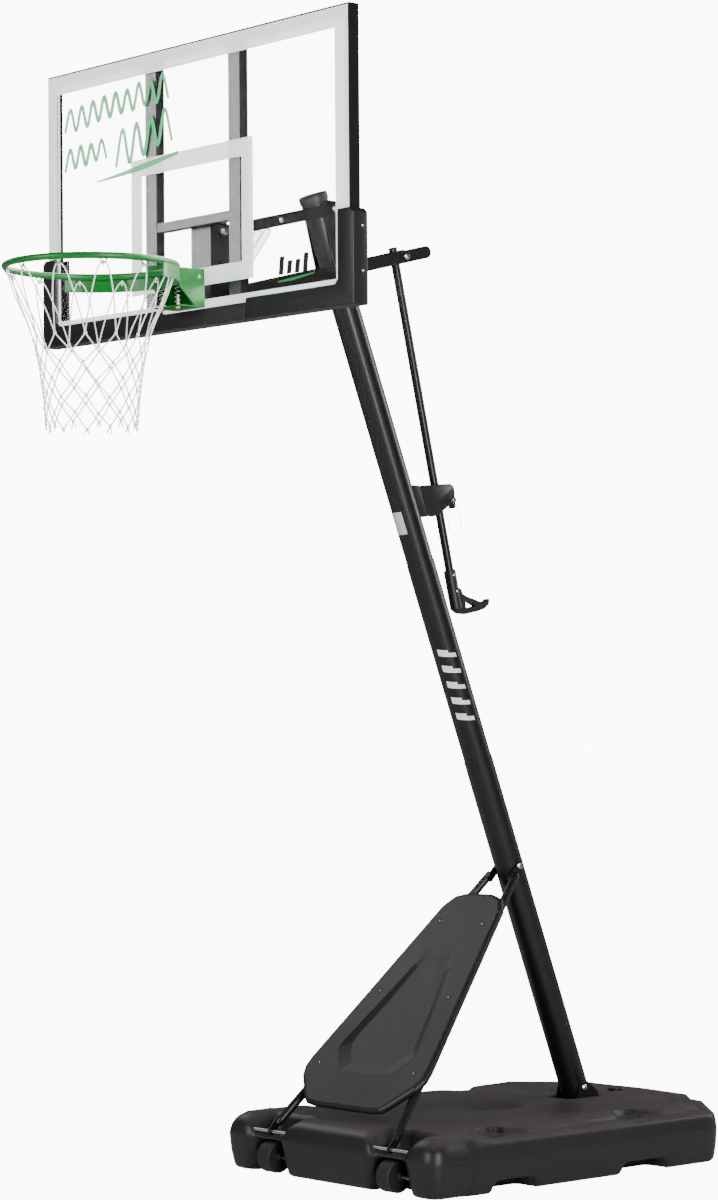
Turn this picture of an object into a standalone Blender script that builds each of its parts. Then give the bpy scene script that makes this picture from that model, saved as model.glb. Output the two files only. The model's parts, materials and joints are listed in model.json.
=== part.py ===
"""Portable basketball hoop on a ballast base: every jointed piece is one named object, in metres, +Z up.

The origin is the middle of the flat underside. -Y is the front, where the ring is, and X = 0 is the
plane of symmetry.
"""

import math

import bmesh
import bpy
from mathutils import Matrix, Vector

# Clearances
GAP = 0.0003
SEAT = 0.0004

# Board
BOARD_WIDTH = 1.370
BOARD_HEIGHT = 0.787
BOARD_TOP = 3.232
BOARD_FACE_Y = -1.130
PANEL_THICK = 0.004
FRAME_DEPTH = 0.030
RAIL_WIDTH = 0.025
UPRIGHT_X = 0.190
UPRIGHT_WIDTH = 0.050
CROSSBAR_Z = 2.728
CROSSBAR_HEIGHT = 0.026
PAD_WALL = 0.010
PAD_SIDE = 0.020
PAD_HEIGHT = 0.060
PAD_UPRIGHT_HEIGHT = 0.258

# Ring and net
RIM_INNER = 0.450
RIM_TUBE = 0.018
RIM_Z = 2.575
RIM_REACH = 0.345
RIM_BRACKET_HALF = 0.060
RIM_PLATE = 0.004
RIM_HINGE_BACK = 0.020
NET_LENGTH = 0.446
NET_WALL = 0.003

# Pole
POLE_LEAN = math.radians(21.0)
POLE_AXIS_Y = 0.332
POLE_AXIS_Z = 0.190
POLE_BOTTOM_Z = 0.0708
POLE_TOP_Z = 2.836
JOINT_LOW_Z = 1.205
JOINT_HIGH_Z = 1.790
TUBE_WALL = 0.0013
UPPER_RADIUS = 0.0400
TUBE_OVERLAP = 0.120

# Lift arms
ARM_SLOPE = math.radians(13.8)
ARM_LENGTH = 0.419
ARM_THICK = 0.012
LOWER_ARM_HALF = 0.018
UPPER_ARM_HALF = 0.016
LOWER_PIVOT_Z = 2.629
UPPER_PIVOT = (-0.648, 2.800)
BRACKET_PLATE = 0.004
PIVOT_BOLT = 0.006
ARM_REAR = 0.316
ROD_PIN_BACK = 0.2365
SPRING_SEAT = 0.208
SPRING_X = 0.020
SPRING_COIL = 0.0110
SPRING_WIRE = 0.0015

# Lift rod, handle and lock
ROD_RADIUS = 0.0125
ROD_TILT = math.radians(12.82)
ROD_LENGTH = 1.045
ROD_ABOVE = 0.026
HANDLE_START = 0.940
LOCK_HALF = 0.026
LOCK_PIN_RADIUS = 0.0035

# Struts and shield
STRUT_RADIUS = 0.0125
STRUT_TAB = 0.004
STRUT_TOP_Z = 0.883
STRUT_FOOT = (0.265, -0.650, 0.125)
SHIELD_THICK = 0.021

# Tank and wheels
TANK_WIDTH = 0.940
TANK_LENGTH = 1.340
TANK_HEIGHT = 0.170
TANK_WALL = 0.012
TANK_CORNER_X = 0.225
TANK_CORNER_Y = 0.470
SLOT_BACK_Y = -0.575
WHEEL_X = 0.265
WHEEL_Y = -0.640
WHEEL_Z = 0.050
WHEEL_RADIUS = 0.0455
WHEEL_WIDTH = 0.055
AXLE_RADIUS = 0.005

# Sizes that follow from those above
MIDDLE_RADIUS = UPPER_RADIUS + GAP + TUBE_WALL
LOWER_RADIUS = MIDDLE_RADIUS + GAP + TUBE_WALL
BRACKET_INNER = UPPER_RADIUS + GAP
BRACKET_OUTER = BRACKET_INNER + BRACKET_PLATE
ARM_INNER = BRACKET_OUTER + 0.0005
ARM_OUTER = ARM_INNER + ARM_THICK
PANEL_BACK_Y = BOARD_FACE_Y + PANEL_THICK
FRAME_FRONT_Y = PANEL_BACK_Y + GAP
FRAME_BACK_Y = FRAME_FRONT_Y + FRAME_DEPTH
BOARD_BOTTOM = BOARD_TOP - BOARD_HEIGHT
RIM_RADIUS = RIM_INNER / 2 + RIM_TUBE / 2
RIM_Y = BOARD_FACE_Y - RIM_REACH


def linear(value):
    """One sRGB channel, 0 to 1, as linear light."""
    return value / 12.92 if value <= 0.04045 else ((value + 0.055) / 1.055) ** 2.4


def material(name, red, green, blue, roughness, metallic=0.0, transmission=0.0):
    """A Principled material from an 8-bit sRGB colour."""
    found = bpy.data.materials.get(name)
    if found:
        return found
    made = bpy.data.materials.new(name)
    made.use_nodes = True
    shader = made.node_tree.nodes["Principled BSDF"]
    shader.inputs["Base Color"].default_value = [linear(c / 255) for c in (red, green, blue)] + [1.0]
    shader.inputs["Roughness"].default_value = roughness
    shader.inputs["Metallic"].default_value = metallic
    shader.inputs["Transmission Weight"].default_value = transmission
    return made


def black_steel():
    return material("black_powder_coat", 28, 27, 28, 0.38, 0.3)


def green_steel():
    return material("green_powder_coat", 18, 150, 72, 0.35, 0.2)


def zinc():
    return material("zinc_plated_steel", 190, 190, 186, 0.3, 1.0)


def dark_plastic():
    return material("black_plastic", 36, 34, 35, 0.55)


def pole_y(z):
    """Y of the pole's axis at height z."""
    return POLE_AXIS_Y - math.tan(POLE_LEAN) * (z - POLE_AXIS_Z)


def pole_point(z, behind=0.0, x=0.0):
    """A point beside the pole's axis, so far behind it, square to the axis."""
    back = Vector((0.0, math.cos(POLE_LEAN), math.sin(POLE_LEAN)))
    return Vector((x, pole_y(z), z)) + back * behind


def pole_direction():
    return Vector((0.0, -math.sin(POLE_LEAN), math.cos(POLE_LEAN)))


def lower_pivot():
    return Vector((0.0, pole_y(LOWER_PIVOT_Z), LOWER_PIVOT_Z))


def upper_pivot():
    return Vector((0.0, UPPER_PIVOT[0], UPPER_PIVOT[1]))


def arm_point(base, along, above=0.0):
    """A point of an arm, along it towards the board and square above it."""
    forward = Vector((0.0, -math.cos(ARM_SLOPE), -math.sin(ARM_SLOPE)))
    up = Vector((0.0, -math.sin(ARM_SLOPE), math.cos(ARM_SLOPE)))
    return base + forward * along + up * above


def rod_pivot():
    return arm_point(lower_pivot(), -ROD_PIN_BACK)


def rod_direction():
    return Vector((0.0, math.sin(ROD_TILT), -math.cos(ROD_TILT)))


def rod_point(along, behind=0.0, x=0.0):
    back = Vector((0.0, math.cos(ROD_TILT), math.sin(ROD_TILT)))
    return rod_pivot() + rod_direction() * along + back * behind + Vector((x, 0.0, 0.0))


def object_from(name, shape, finish):
    """Links a bmesh as an object with outward faces, smooth but for its sharp edges."""
    bmesh.ops.recalc_face_normals(shape, faces=shape.faces)
    mesh = bpy.data.meshes.new(name)
    shape.to_mesh(mesh)
    shape.free()
    mesh.shade_smooth()
    mesh.set_sharp_from_angle(angle=math.radians(38))
    mesh.materials.append(finish)
    made = bpy.data.objects.new(name, mesh)
    bpy.context.scene.collection.objects.link(made)
    return made


def loft(loops, cyclic=False):
    """A closed bmesh through loops of equal length, capped unless the loops close on themselves."""
    shape = bmesh.new()
    rows = [[shape.verts.new(point) for point in loop] for loop in loops]
    pairs = list(zip(rows, rows[1:]))
    if cyclic:
        pairs.append((rows[-1], rows[0]))
    for first, second in pairs:
        for i, corner in enumerate(first):
            j = (i + 1) % len(first)
            shape.faces.new((corner, first[j], second[j], second[i]))
    if not cyclic:
        shape.faces.new(rows[0])
        shape.faces.new(rows[-1])
    return shape


def circle(centre, axis, radius, count):
    """A circle of points about an axis, the first on the same side for every radius."""
    side = Vector((0.0, 0.0, 1.0)) if abs(axis.x) > 0.9 else Vector((1.0, 0.0, 0.0))
    across = (side - axis * side.dot(axis)).normalized()
    other = axis.cross(across)
    turn = [2 * math.pi * i / count for i in range(count)]
    return [centre + (across * math.cos(a) + other * math.sin(a)) * radius for a in turn]


def turned(name, base, axis, profile, finish, count=24, cyclic=False):
    """A turned piece: the profile is pairs of distance along the axis and radius."""
    axis = axis.normalized()
    loops = [circle(base + axis * along, axis, radius, count) for along, radius in profile]
    return object_from(name, loft(loops, cyclic), finish)


def prism_x(name, outline, left, right, finish):
    """A plate: an outline of (y, z) between two X planes."""
    loops = [[Vector((x, y, z)) for y, z in outline] for x in (left, right)]
    return object_from(name, loft(loops), finish)


def prism_y(name, outline, front, back, finish):
    """An outline of (x, z) between two Y planes."""
    loops = [[Vector((x, y, z)) for x, z in outline] for y in (front, back)]
    return object_from(name, loft(loops), finish)


def prism_z(name, outline, bottom, top, finish):
    """An outline of (x, y) between two Z planes."""
    loops = [[Vector((x, y, z)) for x, y in outline] for z in (bottom, top)]
    return object_from(name, loft(loops), finish)


def box(name, low, high, finish):
    outline = [(low[0], low[1]), (high[0], low[1]), (high[0], high[1]), (low[0], high[1])]
    return prism_z(name, outline, low[2], high[2], finish)


def rounded(obj, width, segments=2, angle=32):
    """Rounds the edges sharper than an angle."""
    bevel = obj.modifiers.new("rounded_edges", "BEVEL")
    bevel.width = width
    bevel.segments = segments
    bevel.limit_method = "ANGLE"
    bevel.angle_limit = math.radians(angle)
    bevel.use_clamp_overlap = True
    return obj


def combine(obj, other, operation):
    """Cuts, joins or crosses an object with a helper that isn't itself drawn."""
    other.hide_render = True
    other.display_type = "WIRE"
    boolean = obj.modifiers.new(other.name, "BOOLEAN")
    boolean.operation = operation
    boolean.solver = "EXACT"
    boolean.object = other
    return obj


def cut(obj, other):
    return combine(obj, other, "DIFFERENCE")


def join(obj, other):
    return combine(obj, other, "UNION")


def bore_x(obj, centre, radius, left, right, count=20):
    """Drills along X between two planes."""
    base = Vector((left, centre.y, centre.z))
    profile = [(0.0, radius), (right - left, radius)]
    name = "%s_bore_%d" % (obj.name, len(obj.modifiers))
    return cut(obj, turned(name, base, Vector((1, 0, 0)), profile, obj.data.materials[0], count))


def pivot_at(obj, point):
    """Moves the object's origin to a point without moving the piece."""
    obj.data.transform(Matrix.Translation(-point))
    obj.location = point
    return obj


def bolt_x(name, centre, left, right, radius, finish, head=1.75):
    """A through bolt along X: a nut at the left face, a domed head at the right face."""
    thick = radius * 0.9
    profile = [
        (-thick - GAP, radius * head * 0.85),
        (-GAP - thick * 0.25, radius * head),
        (-GAP, radius * head),
        (-GAP, radius),
        (right - left + GAP, radius),
        (right - left + GAP, radius * head),
        (right - left + GAP + thick * 0.45, radius * head * 0.9),
        (right - left + GAP + thick, radius * head * 0.5),
    ]
    made = turned(name, Vector((left, centre.y, centre.z)), Vector((1, 0, 0)), profile, finish, 16)
    return pivot_at(made, Vector((0.0, centre.y, centre.z)))


def rounded_rectangle(left, right, front, back, radius, steps=4):
    """(x, y) points round a rectangle with round corners."""
    corners = (
        (right - radius, back - radius, 0.0),
        (left + radius, back - radius, 0.5),
        (left + radius, front + radius, 1.0),
        (right - radius, front + radius, 1.5),
    )
    points = []
    for x, y, start in corners:
        for i in range(steps + 1):
            angle = math.pi * (start + 0.5 * i / steps)
            points.append((x + radius * math.cos(angle), y + radius * math.sin(angle)))
    return points


def round_outline(corners, inset, radius, steps=3):
    """(x, y) points round a convex polygon, anticlockwise, set in from its edges, with round corners."""
    lines = []
    for (x0, y0), (x1, y1) in zip(corners, corners[1:] + corners[:1]):
        along = Vector((x1 - x0, y1 - y0)).normalized()
        inward = Vector((-along.y, along.x))
        lines.append((Vector((x0, y0)) + inward * inset, along, inward))
    points = []
    for i, (start, along, inward) in enumerate(lines):
        before, came, came_inward = lines[i - 1]
        cross = came.x * along.y - came.y * along.x
        reach = ((start.x - before.x) * along.y - (start.y - before.y) * along.x) / cross
        corner = before + came * reach
        turn = came.angle(along)
        back = radius * math.tan(turn / 2)
        centre = corner - came * back + came_inward * radius
        first = math.atan2(-came_inward.y, -came_inward.x)
        for k in range(steps + 1):
            angle = first + turn * k / steps
            points.append((centre.x + radius * math.cos(angle), centre.y + radius * math.sin(angle)))
    return points


# Tank ---------------------------------------------------------------------------------------------

SIDE_LEVELS = ((0.0, 0.018), (0.006, 0.010), (0.050, 0.003), (0.094, 0.0004), (0.099, 0.0), (0.104, 0.0004),
               (0.136, 0.005), (0.155, 0.014), (0.166, 0.028), (0.170, 0.046))
BLOCK_LEVELS = ((0.0008, 0.022, 0.186), (0.006, 0.014, 0.191), (0.050, 0.005, 0.200), (0.095, 0.001, 0.2070),
                (0.104, 0.000, 0.2075), (0.113, 0.001, 0.2065), (0.136, 0.008, 0.194), (0.153, 0.020, 0.180),
                (0.164, 0.036, 0.164), (0.1685, 0.056, 0.148))


def level_loops(levels, plan):
    return [[Vector((x, y, z)) for x, y in plan(*sizes)] for z, *sizes in levels]


def tank_body(finish):
    half = TANK_WIDTH / 2
    back = TANK_LENGTH / 2

    corners = [(-half, SLOT_BACK_Y), (half, SLOT_BACK_Y), (half, TANK_CORNER_Y), (TANK_CORNER_X, back),
               (-TANK_CORNER_X, back), (-half, TANK_CORNER_Y)]

    def plan(inset):
        return round_outline(corners, inset, 0.060 - inset * 0.5)

    return object_from("tank", loft(level_loops(SIDE_LEVELS, plan)), finish)


def tank_block(finish):
    front = -TANK_LENGTH / 2

    def plan(inset, half):
        return rounded_rectangle(-half, half, front + inset, SLOT_BACK_Y + 0.120, 0.020)

    return object_from("tank_block", loft(level_loops(BLOCK_LEVELS, plan)), finish)


def tank_lobe(side, finish):
    front = -TANK_LENGTH / 2
    slot_outer = 2 * WHEEL_X
    outer = TANK_WIDTH / 2

    def plan(inset, half):
        inner = slot_outer - half
        left, right = sorted((side * inner, side * (outer - inset - 0.0008)))
        radius = min(0.045 - inset * 0.4, 0.46 * (right - left))
        return rounded_rectangle(left, right, front + inset, SLOT_BACK_Y + 0.150, radius)

    return object_from("tank_lobe_%d" % side, loft(level_loops(BLOCK_LEVELS, plan)), finish)


def pole_pocket(finish):
    outline = [(0.250, 0.190), (0.397, 0.190), (0.4405, 0.055), (0.298, 0.055)]
    return prism_x("tank_pocket", outline, -0.0478, 0.0478, finish)


def ballast_outline(inset):
    """(x, y) of the water space, which runs down both sides of the pole's pocket."""
    side = 0.355 - inset
    inner = 0.062 + inset
    front = SLOT_BACK_Y + 0.025 + inset
    back = TANK_LENGTH / 2 - 0.030 - inset
    corner_x = TANK_CORNER_X - 0.014 - inset
    corner_y = TANK_CORNER_Y + 0.060 - inset
    return [(-side, front), (-inner, front), (-inner, 0.455 + inset), (inner, 0.455 + inset),
            (inner, front), (side, front), (side, corner_y), (corner_x, back), (-corner_x, back), (-side, corner_y)]


def make_tank():
    finish = dark_plastic()
    tank = tank_body(finish)
    join(tank, tank_block(finish))
    for side in (-1, 1):
        join(tank, tank_lobe(side, finish))
        web_left, web_right = sorted((side * 0.200, side * 0.330))
        join(tank, box("tank_web_%d" % side, (web_left, -0.662, 0.1000), (web_right, -0.560, 0.1070), finish))
    for side in (-1, 1):
        for front, back in ((-0.446, -0.263), (0.067, 0.269)):
            outline = [(front, -0.01), (back, -0.01), (back - 0.020, 0.036), (front + 0.020, 0.036)]
            near, far = sorted((side * 0.372, side * 0.500))
            notch = prism_x("tank_notch_%d_%d" % (side, front * 1000), outline, near, far, finish)
            cut(tank, notch)
        for middle in (-0.365, 0.190):
            plan = rounded_rectangle(0.335, 0.392, middle - 0.042, middle + 0.042, 0.020, 3)
            plan = [(side * x, y) for x, y in plan]
            cut(tank, prism_z("tank_grip_%d_%d" % (side, middle * 1000), plan, 0.146, 0.190, finish))
    cut(tank, turned("tank_dish", Vector((0, -0.02, 0.159)), Vector((0, 0, 1)),
                     [(0, 0.030), (0.0112, 0.100), (0.03, 0.100)], finish, 32))
    cut(tank, pole_pocket(finish))
    cut(tank, prism_z("tank_water_space", ballast_outline(0.0), TANK_WALL, 0.130, finish))
    cut(tank, turned("tank_filler", Vector((0, 0.51, 0.12)), Vector((0, 0, 1)),
                     [(0, 0.0170), (0.06, 0.0170)], finish, 24))
    for side in (-1, 1):
        near, far = sorted((side * 0.1880, side * 0.3420))
        bore_x(tank, Vector((0, WHEEL_Y, WHEEL_Z)), AXLE_RADIUS + GAP, near, far)
        bore_x(tank, Vector(STRUT_FOOT), AXLE_RADIUS + GAP, near, far)
    return tank


def make_ballast():
    finish = material("ballast_water", 120, 150, 160, 0.05, 0.0, 0.9)
    prism_z("ballast_water", ballast_outline(0.0005), TANK_WALL + GAP, 0.116, finish)


def make_filler_cap():
    profile = [(-0.016, 0.0167), (0.0003, 0.0167), (0.0003, 0.022), (0.006, 0.022), (0.008, 0.019)]
    cap = turned("filler_cap", Vector((0, 0.51, TANK_HEIGHT)), Vector((0, 0, 1)), profile, dark_plastic(), 28)
    pivot_at(cap, Vector((0, 0.51, TANK_HEIGHT)))


# Wheels ---------------------------------------------------------------------------------------------

def make_wheel(side, label):
    centre = Vector((side * WHEEL_X, WHEEL_Y, WHEEL_Z))
    half = WHEEL_WIDTH / 2
    bore = AXLE_RADIUS + GAP
    profile = [(-half - 0.010, bore), (-half - 0.010, 0.012), (-half, 0.014), (-half + 0.004, 0.016),
               (-half + 0.004, 0.034), (-half, 0.036), (-half, WHEEL_RADIUS - 0.004),
               (-half + 0.004, WHEEL_RADIUS), (half - 0.004, WHEEL_RADIUS), (half, WHEEL_RADIUS - 0.004),
               (half, 0.036), (half - 0.004, 0.034), (half - 0.004, 0.016), (half, 0.014),
               (half + 0.010, 0.012), (half + 0.010, bore)]
    wheel = turned("wheel_" + label, centre, Vector((1, 0, 0)), profile, dark_plastic(), 28, True)
    pivot_at(wheel, centre)
    left = centre + Vector((-0.0765, 0, 0))
    axle = turned("wheel_axle_" + label, left, Vector((1, 0, 0)),
                  [(0, AXLE_RADIUS), (0.153, AXLE_RADIUS)], zinc(), 20)
    pivot_at(axle, centre)


# Pole -----------------------------------------------------------------------------------------------

def pole_tube(name, bottom_z, top_z, radius, finish, count=40):
    """A round tube along the pole's axis between two heights."""
    base = pole_point(bottom_z)
    length = (top_z - bottom_z) / math.cos(POLE_LEAN)
    inner = radius - TUBE_WALL
    profile = [(0, inner), (0, radius), (length, radius), (length, inner)]
    return turned(name, base, pole_direction(), profile, finish, count, True)


def make_pole():
    finish = black_steel()
    reach = TUBE_OVERLAP * math.cos(POLE_LEAN)
    lower = pole_tube("pole_lower", POLE_BOTTOM_Z, JOINT_LOW_Z, LOWER_RADIUS, finish)
    bore_x(lower, foot_bolt_point(), PIVOT_BOLT + GAP, -0.06, 0.06)
    bore_x(lower, strut_top(), PIVOT_BOLT + GAP, -0.06, 0.06)
    pole_tube("pole_middle", JOINT_LOW_Z - reach, JOINT_HIGH_Z, MIDDLE_RADIUS, finish)
    upper = pole_tube("pole_upper", JOINT_HIGH_Z - reach, POLE_TOP_Z, UPPER_RADIUS, finish)
    bore_x(upper, lower_pivot(), PIVOT_BOLT + GAP, -0.06, 0.06)
    bore_x(upper, upper_pivot(), PIVOT_BOLT + GAP, -0.06, 0.06)


def make_pole_cap():
    inner = UPPER_RADIUS + GAP
    outer = inner + 0.0026
    profile = [(-0.012, inner), (-0.012, outer), (0.006, outer), (0.009, outer - 0.003), (0.009, 0.004),
               (SEAT, 0.004), (SEAT, inner)]
    loops = [(along, radius) for along, radius in profile]
    cap = turned("pole_cap", pole_point(POLE_TOP_Z), pole_direction(), loops[:5] + [(0.009, 0.0025)],
                 dark_plastic(), 40)
    hollow = turned("pole_cap_hollow", pole_point(POLE_TOP_Z), pole_direction(),
                    [(-0.030, inner), (SEAT, inner)], dark_plastic(), 40)
    cut(cap, hollow)


def make_pole_bracket():
    """The yoke round the top of the pole that carries both pairs of arms."""
    finish = black_steel()
    outline = [(-0.690, 2.812), (-0.668, 2.826), (-0.590, 2.826), (-0.568, 2.640), (-0.575, 2.600),
               (-0.600, 2.592), (-0.632, 2.597)]
    yoke = prism_x("pole_bracket", outline, -BRACKET_OUTER, BRACKET_OUTER, finish)
    rounded(yoke, 0.002, 2)
    inner = [(-0.750, 2.550), (-0.750, 2.860), (-0.5945, 2.860), (-0.5945, 2.726), (-0.540, 2.726),
             (-0.540, 2.550)]
    cut(yoke, prism_x("pole_bracket_space", inner, -BRACKET_INNER, BRACKET_INNER, finish))
    bore_x(yoke, lower_pivot(), PIVOT_BOLT + GAP, -0.06, 0.06)
    bore_x(yoke, upper_pivot(), PIVOT_BOLT + GAP, -0.06, 0.06)


def foot_bolt_point():
    return pole_point(0.197)


def make_foot():
    """The bracket in the tank's pocket that takes the foot of the pole, and its bolt."""
    finish = black_steel()
    inner = LOWER_RADIUS + GAP
    outer = inner + 0.003
    bottom = 0.055 + GAP

    def behind(z, distance):
        return pole_y(z) + distance / math.cos(POLE_LEAN)

    web = outer + 0.0005
    outline = [(0.305, bottom), (behind(bottom, web), bottom), (behind(0.182, web), 0.182),
               (behind(0.213, 0.020), 0.213), (0.312, 0.215), (0.297, 0.160)]
    foot = prism_x("pole_foot_bracket", outline, -outer, outer, finish)
    space = [(0.200, 0.010), (behind(0.010, inner), 0.010), (behind(0.260, inner), 0.260), (0.200, 0.260)]
    cut(foot, prism_x("pole_foot_space", space, -inner, inner, finish))
    bore_x(foot, foot_bolt_point(), PIVOT_BOLT + GAP, -0.06, 0.06)
    bolt_x("pole_foot_bolt", foot_bolt_point(), -outer, outer, PIVOT_BOLT, zinc())


def make_label():
    """A small plate wrapped on the pole."""
    inner = UPPER_RADIUS + GAP
    base = pole_point(1.885)
    axis = pole_direction()
    across = Vector((1, 0, 0))
    front = axis.cross(across)
    if front.y > 0:
        front = -front
    angles = [math.radians(-106 + i * 6) for i in range(9)]
    loops = []
    for along in (0.0, 0.069):
        ring = [(inner, a) for a in angles] + [(inner + 0.0008, a) for a in reversed(angles)]
        loops.append([base + axis * along + (across * math.cos(a) - front * math.sin(a)) * r for r, a in ring])
    object_from("label_plate", loft(loops), material("label_aluminium", 214, 214, 212, 0.4, 0.6))


# Struts and shield ------------------------------------------------------------------------------------

def strut_top():
    return pole_point(STRUT_TOP_Z)


def shield_point(side_x, down, out):
    """A point of the shield: across, down along the struts, and out square in front of them."""
    top = strut_top()
    foot = Vector(STRUT_FOOT)
    slope = Vector((0, foot.y - top.y, foot.z - top.z)).normalized()
    square = Vector((0, slope.z, -slope.y))
    return top + slope * down + square * out + Vector((side_x, 0, 0))


def tab_outline(centre, toward, length, half):
    """(y, z) of a flattened end: round about its bolt, straight towards the tube."""
    along = Vector((0, toward.y, toward.z)).normalized()
    across = Vector((0, -along.z, along.y))
    points = []
    for i in range(9):
        angle = math.pi * (0.5 + i / 8)
        points.append(centre + along * math.cos(angle) * half + across * math.sin(angle) * half)
    points.append(centre + along * length - across * half)
    points.append(centre + along * length + across * half)
    return [(p.y, p.z) for p in points]


def make_strut(side, label):
    finish = black_steel()
    inner = LOWER_RADIUS + GAP
    top = strut_top() + Vector((side * (inner + 0.0040), 0, 0))
    foot = Vector((side * STRUT_FOOT[0], STRUT_FOOT[1], STRUT_FOOT[2]))
    run = (foot - top).normalized()
    length = (foot - top).length
    strut = turned("strut_" + label, top + run * 0.036, run,
                   [(0, STRUT_RADIUS * 0.92), (0.006, STRUT_RADIUS), (length - 0.078, STRUT_RADIUS),
                    (length - 0.064, STRUT_RADIUS * 0.7)], finish, 20)
    left, right = sorted((side * (inner + 0.0002), side * (inner + 0.0002 + STRUT_TAB)))
    join(strut, prism_x("strut_tab_top_" + label, tab_outline(strut_top(), run, 0.060, 0.012), left, right, finish))
    left, right = sorted((side * (STRUT_FOOT[0] - STRUT_TAB / 2), side * (STRUT_FOOT[0] + STRUT_TAB / 2)))
    join(strut, prism_x("strut_tab_foot_" + label, tab_outline(foot, -run, 0.050, 0.012), left, right, finish))
    near, far = sorted((side * 0.030, side * 0.080))
    bore_x(strut, strut_top(), PIVOT_BOLT + GAP, near, far)
    near, far = sorted((side * 0.250, side * 0.280))
    bore_x(strut, foot, AXLE_RADIUS + GAP, near, far)
    left = Vector((side * STRUT_FOOT[0] - 0.0765, STRUT_FOOT[1], STRUT_FOOT[2]))
    turned("strut_pin_" + label, left, Vector((1, 0, 0)), [(0, AXLE_RADIUS), (0.153, AXLE_RADIUS)], zinc(), 20)


def make_strut_bolt():
    reach = LOWER_RADIUS + GAP + 0.0002 + STRUT_TAB
    bolt_x("strut_bolt", strut_top(), -reach, reach, PIVOT_BOLT, zinc())


SHIELD_HALF = ((0.052, 0.137), (0.100, 0.152), (0.128, 0.192), (0.152, 0.300), (0.210, 0.560), (0.262, 0.788),
               (0.264, 0.822), (0.250, 0.855), (0.186, 0.925), (0.165, 0.942), (0.120, 0.948))


def make_shield():
    finish = dark_plastic()
    half = list(SHIELD_HALF)
    outline = half + [(-x, v) for x, v in reversed(half)]
    middle = sum(v for _, v in half) / len(half)
    back = STRUT_RADIUS + GAP
    levels = ((back, 0.985), (back + 0.004, 1.0), (back + SHIELD_THICK - 0.009, 1.0), (back + SHIELD_THICK, 0.955))
    loops = [[shield_point(x * s, middle + (v - middle) * (1 - (1 - s) * 0.6), out) for x, v in outline]
             for out, s in levels]
    shield = object_from("shield_panel", loft(loops), finish)
    inner = [(0.070, 0.235), (0.105, 0.330), (0.178, 0.690), (0.110, 0.800), (0.000, 0.815)]
    inner = inner + [(-x, v) for x, v in reversed(inner[:-1])]
    front = back + SHIELD_THICK
    relief = loft([[shield_point(x, v, front - 0.004) for x, v in inner],
                   [shield_point(x * 1.1, middle + (v - middle) * 1.03, front + 0.010) for x, v in inner]])
    cut(shield, object_from("shield_relief", relief, finish))


# Arms -----------------------------------------------------------------------------------------------

def arm_outline(base, rear, front, half, round_rear):
    """(y, z) round an arm with a round front end."""
    points = [arm_point(base, front - half + half * math.cos(a), half * math.sin(a))
              for a in [math.pi * (0.5 - i / 10) for i in range(11)]]
    if round_rear:
        points += [arm_point(base, -rear + half + half * math.cos(a), half * math.sin(a))
                   for a in [math.pi * (1.5 - i / 10) for i in range(11)]]
    else:
        points += [arm_point(base, -rear, -half), arm_point(base, -rear, half)]
    return [(p.y, p.z) for p in points]


def make_lower_arm(side, label):
    finish = black_steel()
    left, right = sorted((side * ARM_INNER, side * ARM_OUTER))
    outline = arm_outline(lower_pivot(), ARM_REAR + LOWER_ARM_HALF, ARM_LENGTH + LOWER_ARM_HALF,
                          LOWER_ARM_HALF, True)
    arm = prism_x("lower_arm_" + label, outline, left, right, finish)
    rounded(arm, 0.0018, 2, 60)
    for along in (0.0, ARM_LENGTH, -ROD_PIN_BACK):
        bore_x(arm, arm_point(lower_pivot(), along), PIVOT_BOLT + GAP, left - 0.01, right + 0.01)
    pivot_at(arm, lower_pivot())


def make_upper_arm(side, label):
    finish = black_steel()
    left, right = sorted((side * ARM_INNER, side * ARM_OUTER))
    outline = arm_outline(upper_pivot(), 0.048, ARM_LENGTH + UPPER_ARM_HALF, UPPER_ARM_HALF, False)
    arm = prism_x("upper_arm_" + label, outline, left, right, finish)
    rounded(arm, 0.0018, 2, 60)
    for along, radius in ((0.0, PIVOT_BOLT), (ARM_LENGTH, PIVOT_BOLT), (SPRING_SEAT, 0.005)):
        bore_x(arm, arm_point(upper_pivot(), along), radius + GAP, left - 0.01, right + 0.01)
    pivot_at(arm, upper_pivot())


def make_arm_bolts():
    for name, point, radius in (
        ("lower_pivot_bolt", lower_pivot(), PIVOT_BOLT),
        ("upper_pivot_bolt", upper_pivot(), PIVOT_BOLT),
        ("rod_pin", rod_pivot(), PIVOT_BOLT),
        ("spring_anchor_bolt", arm_point(upper_pivot(), SPRING_SEAT), 0.005),
        ("board_lower_bolt", arm_point(lower_pivot(), ARM_LENGTH), PIVOT_BOLT),
        ("board_upper_bolt", arm_point(upper_pivot(), ARM_LENGTH), PIVOT_BOLT),
    ):
        bolt_x(name, point, -ARM_OUTER, ARM_OUTER, radius, zinc())


def spring_path(start, end, clear, turns, coil, steps=8):
    """Points of a coil between two bolts, with its two ends led in to the centre line."""
    run = (end - start).normalized()
    length = (end - start).length
    across = Vector((1, 0, 0))
    other = run.cross(across)
    first = start + run * clear
    span = length - 2 * clear
    lead = min(0.022, span * 0.12)
    points = [first]
    total = int(turns * steps)
    for i in range(total + 1):
        angle = 2 * math.pi * i / steps
        along = lead + (span - 2 * lead) * i / total
        points.append(first + run * along + (across * math.cos(angle) + other * math.sin(angle)) * coil)
    points.append(first + run * span)
    return points


def wire(name, points, radius, finish, sides=4):
    """A round wire swept along points, with its frame carried from one to the next."""
    loops = []
    previous = None
    for i, point in enumerate(points):
        ahead = points[min(i + 1, len(points) - 1)] - points[max(i - 1, 0)]
        ahead.normalize()
        if previous is None:
            previous = ahead.orthogonal().normalized()
        previous = (previous - ahead * previous.dot(ahead)).normalized()
        other = ahead.cross(previous)
        loops.append([point + (previous * math.cos(a) + other * math.sin(a)) * radius
                      for a in [2 * math.pi * k / sides for k in range(sides)]])
    return object_from(name, loft(loops), finish)


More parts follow.
